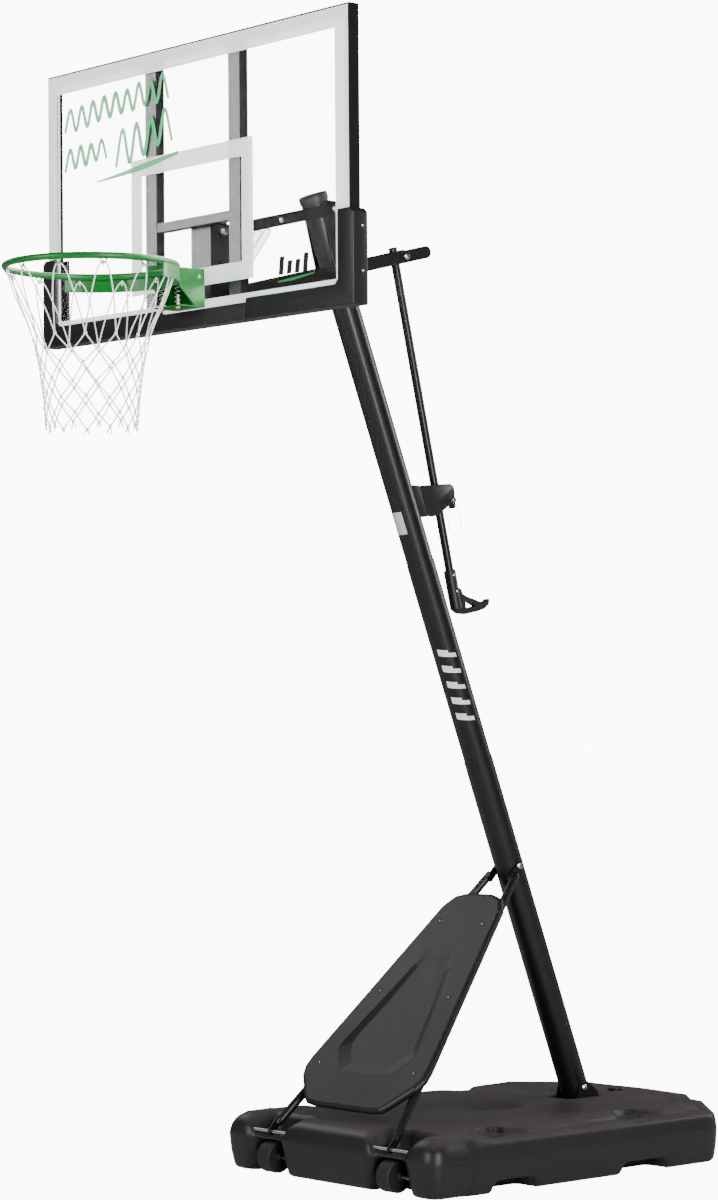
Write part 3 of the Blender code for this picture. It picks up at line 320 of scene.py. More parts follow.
# Painted sheen: the thick grey-pink layer on the tank's upward faces paints the reflection of the bright
# surroundings.
MOULDED = Finish("moulded_plastic", linear(20, 19, 19), 0.42, specular=0.45, grain_scale=420,
                  grain_depth=0.00010, unevenness=0.16, cloud_scale=2.6, dust=1.2, dust_and_sheen_colour=linear(92, 84, 85))
SHIELD = Finish("shield_plastic", linear(19, 19, 20), 0.42, specular=0.4, grain_scale=420,
                grain_depth=0.00010, dust=0.0)
TREAD = Finish("wheel_plastic", linear(16, 15, 15), 0.6, grain_scale=500, grain_depth=0.0001, dust=0.05)
LOCK_PLASTIC = Finish("lock_plastic", linear(17, 16, 16), 0.42, grain_scale=800,
                      grain_depth=0.00006, dust=0.02)
PADDING = Finish("edge_padding", linear(16, 15, 15), 0.42, grain_scale=520, grain_depth=0.00007, dust=0.03)
# Painted glow on the white and green prints keeps them bright under the dim lamps.
PRINT_WHITE = Finish("white_print", linear(228, 229, 230), 0.45, dust=0.0, unevenness=0.05,
                     cover=0.82, glow=0.9)
PRINT_GREEN = Finish("green_print", linear(96, 196, 136), 0.5, dust=0.0, unevenness=0.05,
                     cover=0.85, glow=0.5)
PRINT_DEEP_GREEN = Finish("deep_green_print", linear(20, 150, 75), 0.5, dust=0.0, unevenness=0.05)
PRINT_BLACK = Finish("black_print", linear(16, 16, 16), 0.5, dust=0.0, unevenness=0.05)
MARK_WHITE = Finish("white_mark", linear(238, 238, 238), 0.5, dust=0.0, unevenness=0.05)
# Painted glow on the twine keeps the net bright.
TWINE = Finish("net_twine", linear(238, 237, 232), 0.85, grain_scale=1600, grain_depth=0.0003,
               dust=0.0, glow=0.35)
LABEL = Finish("label_metal", linear(212, 212, 211), 0.38, metallic=0.5, grain_scale=1200, dust=0.0)
CABLE = Finish("tether_cable", linear(190, 191, 193), 0.32, metallic=0.9, grain_scale=2400,
               grain_depth=0.0001, dust=0)
PIN = Finish("turned_pin", linear(150, 151, 153), 0.3, metallic=1.0, grain_scale=1500, dust=0.0)
WATER = Finish("ballast_water", linear(120, 150, 160), 0.1, dust=0.0)
# Painted shade: near-black for the shaded recesses round the shield screws and the shaded line along the tank's
# seam.
PAINTED_SHADE_BLACK = Finish("dark_recess", linear(12, 12, 12), 0.7, dust=0.0)


# Mesh tools ------------------------------------------------------------------------------------------


def object_from(name: str, shape: bmesh.types.BMesh, look: Finish, angle: float = 38.0) -> bpy.types.Object:
    """Links a bmesh as an object with outward faces, smooth but for its sharp edges.

    Args:
        name: Name of the piece.
        shape: The mesh being built; it is freed.
        look: Finish for the whole piece.
        angle: Edges sharper than this many degrees stay crisp.

    Returns:
        The new object, at the origin.
    """
    bmesh.ops.recalc_face_normals(shape, faces=shape.faces)
    mesh = bpy.data.meshes.new(name)
    shape.to_mesh(mesh)
    shape.free()
    mesh.shade_smooth()
    mesh.set_sharp_from_angle(angle=math.radians(angle))
    mesh.materials.append(look.build())
    made = bpy.data.objects.new(name, mesh)
    bpy.context.scene.collection.objects.link(made)
    return made


def add_loft(shape: bmesh.types.BMesh, loops: list[list[Vector]], cyclic: bool = False) -> None:
    """Adds a closed skin through loops of equal length.

    Args:
        shape: Mesh to add to.
        loops: Loops of points.
        cyclic: True if the last loop joins the first; otherwise the ends are capped.
    """
    rows = [[shape.verts.new(point) for point in loop] for loop in loops]
    pairs = list(zip(rows, rows[1:]))
    if cyclic:
        pairs.append((rows[-1], rows[0]))
    for first, second in pairs:
        for i, corner in enumerate(first):
            j = (i + 1) % len(first)
            shape.faces.new((corner, first[j], second[j], second[i]))
    if not cyclic:
        shape.faces.new(rows[0])
        shape.faces.new(rows[-1])


def circle(centre: Vector, axis: Vector, radius: float, count: int) -> list[Vector]:
    """Returns points on a circle about an axis."""
    side = Z_AXIS if abs(axis.x) > 0.9 else X_AXIS
    across = (side - axis * side.dot(axis)).normalized()
    other = axis.cross(across)
    turns = [2 * math.pi * i / count for i in range(count)]
    return [centre + (across * math.cos(a) + other * math.sin(a)) * radius for a in turns]


def add_turned(
    shape: bmesh.types.BMesh, base: Vector, axis: Vector, profile: list[tuple[float, float]],
    count: int = 32, cyclic: bool = False,
) -> None:
    """Adds a turned shape.

    Args:
        shape: Mesh to add to.
        base: Point on the axis that distances start from.
        axis: Direction of the axis.
        profile: Pairs of distance along the axis and radius.
        count: Points round the axis.
        cyclic: True if the profile is a closed ring.
    """
    axis = axis.normalized()
    add_loft(shape, [circle(base + axis * along, axis, radius, count) for along, radius in profile], cyclic)


def add_prism(shape: bmesh.types.BMesh, outline: list[Vector], shift: Vector) -> None:
    """Adds a plate: an outline and the same outline moved by a shift."""
    add_loft(shape, [list(outline), [point + shift for point in outline]])


def add_tube(shape: bmesh.types.BMesh, points: list[Vector], radius: float, sides: int = 8) -> None:
    """Adds a round tube along points, its frame carried from one point to the next.

    Args:
        shape: Mesh to add to.
        points: Centre line.
        radius: Radius of the tube.
        sides: Points round the tube.
    """
    loops = []
    carried = None
    for i, point in enumerate(points):
        ahead = (points[min(i + 1, len(points) - 1)] - points[max(i - 1, 0)]).normalized()
        if carried is None:
            carried = ahead.orthogonal().normalized()
        carried = (carried - ahead * carried.dot(ahead)).normalized()
        other = ahead.cross(carried)
        turns = [2 * math.pi * k / sides for k in range(sides)]
        loops.append([point + (carried * math.cos(a) + other * math.sin(a)) * radius for a in turns])
    add_loft(shape, loops)


def smooth_line(hand: list[Vector], steps: int) -> list[Vector]:
    """Returns points on a smooth curve through a list of points."""
    padded = [hand[0] * 2 - hand[1]] + hand + [hand[-1] * 2 - hand[-2]]
    points = []
    for i in range(1, len(padded) - 2):
        a, b, c, d = padded[i - 1 : i + 3]
        for k in range(steps):
            t = k / steps
            points.append(0.5 * (2 * b + (c - a) * t + (2 * a - 5 * b + 4 * c - d) * t * t
                                 + (3 * b - a - 3 * c + d) * t**3))
    points.append(hand[-1])
    return points


def baked(obj: bpy.types.Object) -> bpy.types.Object:
    """Turns an object's live modifiers into a plain mesh."""
    graph = bpy.context.evaluated_depsgraph_get()
    graph.update()
    plain = bpy.data.meshes.new_from_object(obj.evaluated_get(graph), depsgraph=graph)
    obj.modifiers.clear()
    obj.data = plain
    return obj


def bevelled(obj: bpy.types.Object, width: float, segments: int = 3, angle: float = 40.0) -> bpy.types.Object:
    """Rounds an object's sharp edges for good and returns it."""
    edge = obj.modifiers.new("rounded_edges", "BEVEL")
    edge.width = width
    edge.segments = segments
    edge.limit_method = "ANGLE"
    edge.angle_limit = math.radians(angle)
    plain = baked(obj)
    plain.data.shade_smooth()
    plain.data.set_sharp_from_angle(angle=math.radians(50))
    return plain


# Geometry Nodes --------------------------------------------------------------------------------------


def node_tree(name: str, inputs: dict[str, tuple[str, float]]) -> bpy.types.NodeTree:
    """Makes a Geometry Nodes tree with named inputs.

    Args:
        name: Name of the tree.
        inputs: Input names with their socket types and default values.

    Returns:
        The tree, with its input and output nodes named in and out.
    """
    tree = bpy.data.node_groups.new(name, "GeometryNodeTree")
    tree.interface.new_socket("Geometry", in_out="INPUT", socket_type="NodeSocketGeometry")
    for label, (kind, value) in inputs.items():
        socket = tree.interface.new_socket(label, in_out="INPUT", socket_type=kind)
        if value is not None:
            socket.default_value = value
    tree.interface.new_socket("Geometry", in_out="OUTPUT", socket_type="NodeSocketGeometry")
    tree.nodes.new("NodeGroupInput").name = "in"
    tree.nodes.new("NodeGroupOutput").name = "out"
    return tree


def scatter_tree() -> bpy.types.NodeTree:
    """Builds the tree that sets one small shape on each point, turned by the point's own rotation.

    Returns:
        The tree, built once.
    """
    found = bpy.data.node_groups.get("set_on_points")
    if found:
        return found
    tree = node_tree("set_on_points", {
        "Shape": ("NodeSocketObject", None),
        "Size": ("NodeSocketFloat", 1.0),
        "Finish": ("NodeSocketMaterial", None),
    })
    nodes, links = tree.nodes, tree.links
    source, result = nodes["in"], nodes["out"]
    info = nodes.new("GeometryNodeObjectInfo")
    links.new(source.outputs["Shape"], info.inputs["Object"])
    turn = nodes.new("GeometryNodeInputNamedAttribute")
    turn.data_type = "FLOAT_VECTOR"
    turn.inputs["Name"].default_value = "turn"
    place = nodes.new("GeometryNodeInstanceOnPoints")
    links.new(source.outputs["Geometry"], place.inputs["Points"])
    links.new(info.outputs["Geometry"], place.inputs["Instance"])
    links.new(turn.outputs["Attribute"], place.inputs["Rotation"])
    links.new(source.outputs["Size"], place.inputs["Scale"])
    real = nodes.new("GeometryNodeRealizeInstances")
    links.new(place.outputs["Instances"], real.inputs["Geometry"])
    finish = nodes.new("GeometryNodeSetMaterial")
    links.new(real.outputs["Geometry"], finish.inputs["Geometry"])
    links.new(source.outputs["Finish"], finish.inputs["Material"])
    links.new(finish.outputs["Geometry"], result.inputs["Geometry"])
    return tree


def twine_tree() -> bpy.types.NodeTree:
    """Builds the tree that turns edges into round twine.

    Returns:
        The tree, built once.
    """
    found = bpy.data.node_groups.get("edges_to_twine")
    if found:
        return found
    tree = node_tree("edges_to_twine", {
        "Radius": ("NodeSocketFloat", 0.002),
        "Sides": ("NodeSocketInt", 7),
        "Finish": ("NodeSocketMaterial", None),
    })
    nodes, links = tree.nodes, tree.links
    source, result = nodes["in"], nodes["out"]
    lines = nodes.new("GeometryNodeMeshToCurve")
    links.new(source.outputs["Geometry"], lines.inputs["Mesh"])
    ring = nodes.new("GeometryNodeCurvePrimitiveCircle")
    links.new(source.outputs["Sides"], ring.inputs["Resolution"])
    links.new(source.outputs["Radius"], ring.inputs["Radius"])
    skin = nodes.new("GeometryNodeCurveToMesh")
    skin.inputs["Fill Caps"].default_value = True
    links.new(lines.outputs["Curve"], skin.inputs["Curve"])
    links.new(ring.outputs["Curve"], skin.inputs["Profile Curve"])
    smooth = nodes.new("GeometryNodeSetShadeSmooth")
    links.new(skin.outputs["Mesh"], smooth.inputs["Geometry"])
    real = nodes.new("GeometryNodeRealizeInstances")
    links.new(smooth.outputs["Geometry"], real.inputs["Geometry"])
    finish = nodes.new("GeometryNodeSetMaterial")
    links.new(real.outputs["Geometry"], finish.inputs["Geometry"])
    links.new(source.outputs["Finish"], finish.inputs["Material"])
    links.new(finish.outputs["Geometry"], result.inputs["Geometry"])
    return tree


def run_tree(obj: bpy.types.Object, tree: bpy.types.NodeTree, values: dict[str, object]) -> bpy.types.Object:
    """Runs a Geometry Nodes tree on an object and keeps the result as a plain mesh.

    Args:
        obj: The object that holds the points or edges.
        tree: The tree to run.
        values: Values for the tree's inputs, by name.

    Returns:
        The object, with its mesh replaced and no modifier left.
    """
    run = obj.modifiers.new(tree.name, "NODES")
    run.node_group = tree
    for item in tree.interface.items_tree:
        if item.item_type == "SOCKET" and item.in_out == "INPUT" and item.name in values:
            run[item.identifier] = values[item.name]
    return baked(obj)


def set_on_points(
    name: str, shape: bpy.types.Object, spots: list[tuple[Vector, Vector]], look: Finish, size: float = 1.0
) -> bpy.types.Object:
    """Sets copies of a small shape on points, its +Z along each point's direction.

    Args:
        name: Name of the finished piece.
        shape: The small shape, built about its own origin.
        spots: Pairs of place and outward direction.
        look: Finish of the copies.
        size: Scale of the copies.

    Returns:
        One plain mesh object with every copy in it.
    """
    mesh = bpy.data.meshes.new(name)
    mesh.from_pydata([place for place, _ in spots], [], [])
    turn = mesh.attributes.new("turn", "FLOAT_VECTOR", "POINT")
    for i, (_, out) in enumerate(spots):
        turn.data[i].vector = out.to_track_quat("Z", "Y").to_euler() if isinstance(out, Vector) else out
    obj = bpy.data.objects.new(name, mesh)
    bpy.context.scene.collection.objects.link(obj)
    run_tree(obj, scatter_tree(), {"Shape": shape, "Size": size, "Finish": look.build()})
    if "turn" in obj.data.attributes:
        obj.data.attributes.remove(obj.data.attributes["turn"])
    return obj


# Small fittings --------------------------------------------------------------------------------------


class Head(enum.Enum):
    """Shapes of screw and rivet heads."""

    PAN = "pan"
    RIVET = "rivet"
    HEX = "hex"


@dataclass
class Fastener:
    """A small head, built once about its own origin and set where needed."""

    head: Head
    radius: float = 0.005
    height: float = 0.0025

    def template(self) -> bpy.types.Object:
        """Builds the hidden shape that is copied.

        Returns:
            The template object, left out of the render.
        """
        name = "fastener_%s_%d" % (self.head.value, round(self.radius * 10000))
        found = bpy.data.objects.get(name)
        if found:
            return found
        shape = bmesh.new()
        r, h = self.radius, self.height
        if self.head is Head.HEX:
            add_turned(shape, Vector(), Z_AXIS, [(-0.0004, r * 1.25), (h * 0.25, r * 1.25)], 20)
            add_turned(shape, Vector((0, 0, h * 0.25)), Z_AXIS,
                       [(0, r * 0.98), (h * 0.85, r * 0.98), (h, r * 0.86)], 6)
        elif self.head is Head.RIVET:
            add_turned(shape, Vector(), Z_AXIS,
                       [(-0.0004, r), (h * 0.35, r), (h * 0.8, r * 0.7), (h, r * 0.25)], 16)
        else:
            dome = [(-0.0004, r), (h * 0.3, r), (h * 0.75, r * 0.82), (h, r * 0.5), (h * 0.98, r * 0.42),
                    (h * 0.3, r * 0.34)]
            add_turned(shape, Vector(), Z_AXIS, dome, 18)
        made = object_from(name, shape, ZINC)
        made.hide_render = True
        return made

    def place(
        self, name: str, spots: list[tuple[Vector, Vector]], look: Finish, body: Body
    ) -> bpy.types.Object:
        """Sets the head on each spot and makes it ride on a body.

        Args:
            name: Name of the finished piece.
            spots: Pairs of place and outward direction.
            look: Finish of the heads.
            body: Body that the heads ride on.

        Returns:
            The finished piece.
        """
        made = set_on_points(name, self.template(), spots, look)
        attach(made, body.value)
        LOG.info("%s: %d heads", name, len(spots))
        return made


def drop_templates() -> None:
    """Removes the hidden shapes once every copy is made."""
    for obj in list(bpy.data.objects):
        if obj.name.startswith("fastener_") or obj.name.startswith("shape_"):
            bpy.data.objects.remove(obj, do_unlink=True)


# Stage -----------------------------------------------------------------------------------------------


@dataclass
class Stage:
    """Plain pale floor, soft lights and the camera."""

    camera_at: Vector = field(default_factory=lambda: Vector((7.177, -6.686, 1.419)))
    azimuth: float = 49.344
    elevation: float = 1.562
    roll: float = -0.457
    lens: float = 97.657
    fill_strength: float = 0.12
    backdrop_strength: float = 11.0
    floor_glow: float = 10.2

    def build(self) -> None:
        """Builds the floor, the lights, the surroundings and the camera."""
        self.floor()
        self.lights()
        self.camera()
        LOG.info("stage: floor, lights, camera")

    def floor(self) -> None:
        """Builds the round pale floor."""
        shape = bmesh.new()
        bmesh.ops.create_circle(shape, cap_ends=True, radius=60.0, segments=96)
        mesh = bpy.data.meshes.new("floor")
        shape.to_mesh(mesh)
        shape.free()
        look = bpy.data.materials.new("pale_floor")
        look.use_nodes = True
        shader = look.node_tree.nodes["Principled BSDF"]
        shader.inputs["Base Color"].default_value = (0.86, 0.86, 0.86, 1.0)
        shader.inputs["Roughness"].default_value = 0.9
        shader.inputs["Specular IOR Level"].default_value = 0.1
        shader.inputs["Emission Color"].default_value = (1.0, 1.0, 1.0, 1.0)
        path = look.node_tree.nodes.new("ShaderNodeLightPath")
        glow = look.node_tree.nodes.new("ShaderNodeMapRange")
        glow.inputs["To Max"].default_value = self.floor_glow
        look.node_tree.links.new(path.outputs["Is Camera Ray"], glow.inputs["Value"])
        look.node_tree.links.new(glow.outputs["Result"], shader.inputs["Emission Strength"])
        mesh.materials.append(look)
        floor = bpy.data.objects.new("floor", mesh)
        bpy.context.scene.collection.objects.link(floor)

    def lights(self) -> None:
        """Builds the surroundings and the soft area lights."""
        world = bpy.data.worlds.new("studio")
        world.use_nodes = True
        nodes, links = world.node_tree.nodes, world.node_tree.links
        background = nodes["Background"]
        background.inputs["Color"].default_value = (1.0, 1.0, 1.0, 1.0)
        path = nodes.new("ShaderNodeLightPath")
        seen = nodes.new("ShaderNodeMath")
        seen.operation = "MAXIMUM"
        links.new(path.outputs["Is Camera Ray"], seen.inputs[0])
        links.new(path.outputs["Is Transmission Ray"], seen.inputs[1])
        strength = nodes.new("ShaderNodeMapRange")
        strength.inputs["To Min"].default_value = self.fill_strength
        strength.inputs["To Max"].default_value = self.backdrop_strength
        links.new(seen.outputs["Value"], strength.inputs["Value"])
        links.new(strength.outputs["Result"], background.inputs["Strength"])
        bpy.context.scene.world = world
        for name, place, aim, size, power in (
            ("key_light", (7.5, -2.5, 4.5), (0.0, -0.4, 1.6), 3.0, 420.0),
            ("front_light", (-1.0, -9.0, 4.0), (0.0, -0.6, 1.6), 4.0, 420.0),
            ("shield_light", (-6.0, -0.6, 5.2), (0.0, -0.4, 0.6), 2.5, 55.0),
            ("rear_light", (2.5, 7.5, 4.0), (0.0, 0.0, 1.4), 3.0, 260.0),
            ("low_light", (8.0, -3.4, 0.9), (0.0, -0.2, 1.6), 1.6, 260.0),
        ):
            lamp = bpy.data.lights.new(name, "AREA")
            lamp.shape = "SQUARE"
            lamp.size = size
            lamp.energy = power
            obj = bpy.data.objects.new(name, lamp)
            obj.location = place
            obj.visible_camera = False
            obj.rotation_euler = (Vector(aim) - Vector(place)).to_track_quat("-Z", "Y").to_euler()
            bpy.context.scene.collection.objects.link(obj)

    def camera(self) -> None:
        """Builds the camera."""
        turn, lift, lean = (math.radians(v) for v in (self.azimuth, self.elevation, self.roll))
        ahead = Vector((-math.sin(turn) * math.cos(lift), math.cos(turn) * math.cos(lift), math.sin(lift)))
        right = Vector((math.cos(turn), math.sin(turn), 0.0))
        up = right.cross(ahead)
        across = right * math.cos(lean) + up * math.sin(lean)
        above = up * math.cos(lean) - right * math.sin(lean)
        data = bpy.data.cameras.new("camera")
        data.sensor_fit = "VERTICAL"
        data.sensor_height = 36.0
        data.sensor_width = 36.0
        data.lens = self.lens
        data.clip_end = 200.0
        camera = bpy.data.objects.new("camera", data)
        camera.matrix_world = Matrix.Translation(self.camera_at) @ Matrix(
            (across, above, -ahead)).transposed().to_4x4()
        bpy.context.scene.collection.objects.link(camera)
        bpy.context.scene.camera = camera


# Frame pieces ----------------------------------------------------------------------------------------

SLOT_LOOKS: dict[str, object] = {
    "black_powder_coat": BLACK_COAT,
    "green_powder_coat": GREEN_COAT,
    "zinc_plated_steel": ZINC,
    "black_plastic": LOCK_PLASTIC,
    "black_padding": PADDING,
    "clear_acrylic": ClearSheet(),
    "white_net": TWINE,
    "label_aluminium": LABEL,
    "ballast_water": WATER,
    "lanyard_cable": CABLE,
    "pin_steel": PIN,
}
NODE_LOOKS: dict[str, Finish] = {
    "tank": MOULDED,
    "filler_cap": MOULDED,
    "shield_panel": SHIELD,
    "wheel_left": TREAD,
    "wheel_right": TREAD,
}


@dataclass
class FramePieces:
    """The frame's own pieces, each given its finish."""

    nodes: dict[str, bpy.types.Object]

    def dress(self) -> None:
        """Puts a finish in every material slot of every piece of the frame."""
        for name, obj in self.nodes.items():
            for place in obj.material_slots:
                slot_name = place.material.name.split(".")[0] if place.material else "black_powder_coat"
                look = NODE_LOOKS.get(name) or SLOT_LOOKS.get(slot_name, BLACK_COAT)
                place.material = look.build()
            if not obj.material_slots:
                obj.data.materials.append(NODE_LOOKS.get(name, BLACK_COAT).build())
        LOG.info("frame: %d pieces dressed", len(self.nodes))


def merged_copy(name: str, node: bpy.types.Object) -> bpy.types.Object:
    """Copies a frame piece as a clean closed mesh, its doubles merged.

    Args:
        name: Name of the copy.
        node: The frame piece.

    Returns:
        The copy, at the origin.
    """
    shape = bmesh.new()
    shape.from_mesh(node.data)
    shape.transform(node.matrix_world)
    bmesh.ops.remove_doubles(shape, verts=shape.verts, dist=0.00002)
    bmesh.ops.dissolve_limit(shape, angle_limit=math.radians(0.5), verts=shape.verts, edges=shape.edges)
    mesh = bpy.data.meshes.new(name)
    shape.to_mesh(mesh)
    shape.free()
    made = bpy.data.objects.new(name, mesh)
    bpy.context.scene.collection.objects.link(made)
    return made


@dataclass
class SoftPieces:
    """Moulded pieces of the frame whose edges are rounder than the frame's own."""

    nodes: dict[str, bpy.types.Object]
    widths: tuple[tuple[str, Body, float], ...] = (
        ("lock_housing_left", Body.BASE, 0.0030),
        ("lock_housing_right", Body.BASE, 0.0030),
        ("lock_saddle", Body.BASE, 0.0025),
        ("edge_pad_left", Body.BOARD, 0.0022),
        ("edge_pad_right", Body.BOARD, 0.0022),
        ("lock_latch", Body.LATCH, 0.0012),
    )

    def build(self) -> None:
        """Builds each rounded copy and lets it stand for its frame piece."""
        for name, body, width in self.widths:
            made = merged_copy("soft_" + name, self.nodes[name])
            bevelled(made, width, 3, 42.0)
            look = PADDING if name.startswith("edge_pad") else LOCK_PLASTIC
            made.data.materials.clear()
            made.data.materials.append(look.build())
            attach(made, body.value)
            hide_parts(name)
            LOG.info("soft_%s: edges rounded", name)


# Tank ------------------------------------------------------------------------------------------------


@dataclass
class Tank:
    """The blow-moulded tank: soft edges, a stepped shoulder round the top, ribs and a ribbed dish."""

    node: bpy.types.Object
    voxel: float = 0.0075
    half_width: float = 0.470
    front: float = -0.670
    rear: float = 0.670
    corner_x: float = 0.225
    corner_y: float = 0.470
    height: float = 0.170
    dish: Vector = field(default_factory=lambda: Vector((0.0, -0.02, 0.0)))
    dish_radius: float = 0.100
    grips: tuple[float, ...] = (-0.365, 0.190)

    def inset(self, x: float, y: float) -> float:
        """Returns how far a point lies inside the tank's outline."""
        x = abs(x)
        run = Vector((self.corner_x - self.half_width, self.rear - self.corner_y)).normalized()
        slant = run.y * (self.half_width - x) + (-run.x) * (self.corner_y - y)
        return min(self.half_width - x, self.rear - y, slant, y - self.front)

    def top(self, x: float, y: float) -> float:
        """Returns the height of the tank's top at a point.

        Args:
            x: Across.
            y: Front to back.

        Returns:
            Height above the floor.
        """
        d = self.inset(x, y)
        if y < -0.40:
            d = min(self.half_width - abs(x), self.rear - y)
        near_grip = max(math.exp(-((y - g) / 0.055) ** 2) for g in self.grips)
        wave = 0.010 * math.sin(y * 5.5 + 0.8)
        edge = 0.060 + wave + 0.055 * near_grip * (1.0 if abs(x) > 0.2 else 0.0)
        share = min(1.0, max(0.0, (d - (edge - 0.009)) / 0.018))
        rise = share * share * (3 - 2 * share)
        shoulder = 0.1480 + 0.0016 * math.sin(min(math.pi, max(0.0, d / 0.045) * math.pi))
        front_fade = min(1.0, max(0.0, (-0.400 - y) / 0.12))
        rise = max(rise, front_fade)
        level = shoulder + (self.height - 0.0012 - shoulder) * rise
        level += 0.0012 * math.sin(x * 17 + 1.3) * math.sin(y * 13 + 0.4) * rise * (1 - front_fade)
        for line, wide, tall in ((0.085, 0.010, 0.006), (0.120, 0.010, 0.005)):
            if y > 0.44 and abs(x) > 0.16:
                level -= tall * math.exp(-((d - line) / wide) ** 2) * min(1.0, (abs(x) - 0.16) / 0.06)
        return level

    def build(self) -> None:
        """Builds the tank from a softened copy of the frame's own, then lets it stand for it."""
        made = merged_copy("moulded_tank", self.node)
        net = made.modifiers.new("even_net", "REMESH")
        net.mode = "VOXEL"
        net.voxel_size = self.voxel
        net.adaptivity = 0.0
        soft = made.modifiers.new("soft", "SMOOTH")
        soft.factor = 0.5
        soft.iterations = 5
        baked(made)
        self.shape_top(made)
        calm = made.modifiers.new("calm", "SMOOTH")
        calm.factor = 0.5
        calm.iterations = 2
        baked(made)
        made.data.shade_smooth()
        made.data.materials.clear()
        made.data.materials.append(MOULDED.build())
        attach(made, Body.BASE.value)
        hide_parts("tank")
        LOG.info("moulded_tank: %d faces", len(made.data.polygons))
        self.parting_line()

    def shape_top(self, made: bpy.types.Object) -> None:
        """Moves the upper skin to the top's own heights and presses the dish's ribs."""
        for vertex in made.data.vertices:
            x, y, z = vertex.co
            if z < 0.140:
                continue
            reach = (Vector((x, y, 0)) - self.dish).length
            if z > 0.160 or (reach > self.dish_radius and z > 0.146):
                limit = self.top(x, y)
                vertex.co.z = limit - (self.height - z) * 0.35 if z > limit - 0.004 else z
            if reach < self.dish_radius * 0.97 and y - self.dish.y > -self.dish_radius:
                angle = math.atan2(y - self.dish.y, x)
                rib = max(0.0, math.cos(angle * 4 + reach * 9)) ** 10
                deep = min(1.0, (self.dish_radius - reach) / 0.02)
                vertex.co.z += (0.0060 * rib - 0.0070) * deep

    def outline(self, inset: float) -> list[Vector]:
        """Returns points round the rear and sides of the tank at an inset, from one front lobe to the other."""
        w, r = self.half_width - inset, self.rear - inset
        right = [Vector((w, y, 0))
                 for y in (-0.600, -0.5, -0.4, -0.3, -0.22, -0.15, 0.0, 0.05, 0.12, 0.2, 0.3, 0.40)]
        slant = Vector((self.corner_x - self.half_width, self.rear - self.corner_y, 0)).normalized()
        inward = Vector((-slant.y, slant.x, 0)) * inset
        first = Vector((self.half_width, self.corner_y, 0)) + inward
        bend = [Vector((w - 0.0015, self.corner_y - 0.012, 0)),
                first + slant * 0.004 + Vector((-0.004, -0.004, 0)),
                first + slant * 0.032, first + slant * 0.150, first + slant * 0.290,
                Vector((self.corner_x - 0.02, r - 0.003, 0)), Vector((self.corner_x - 0.05, r, 0))]
        half = right + bend + [Vector((0.08, r, 0))]
        return half + [Vector((-p.x, p.y, 0)) for p in reversed(half)]

    def parting_line(self) -> None:
        """Adds the fine moulding seam round the sides, stepped over the side notches."""
        line = []
        for point in smooth_line(self.outline(0.0012), 3):
            step = 0.5 - 0.5 * math.tanh((point.y + 0.20) / 0.018)
            dip = math.exp(-((point.y - 0.0) / 0.10) ** 4)
            height = 0.104 - 0.010 * step - 0.012 * dip
            line.append(Vector((point.x, point.y, height)))
        shape = bmesh.new()
        add_tube(shape, line, 0.0014, 6)
        # The seam is drawn in the painted shade black.
        made = object_from("tank_seam", shape, PAINTED_SHADE_BLACK)
        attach(made, Body.BASE.value)
        LOG.info("tank_seam: built")


# Board -----------------------------------------------------------------------------------------------


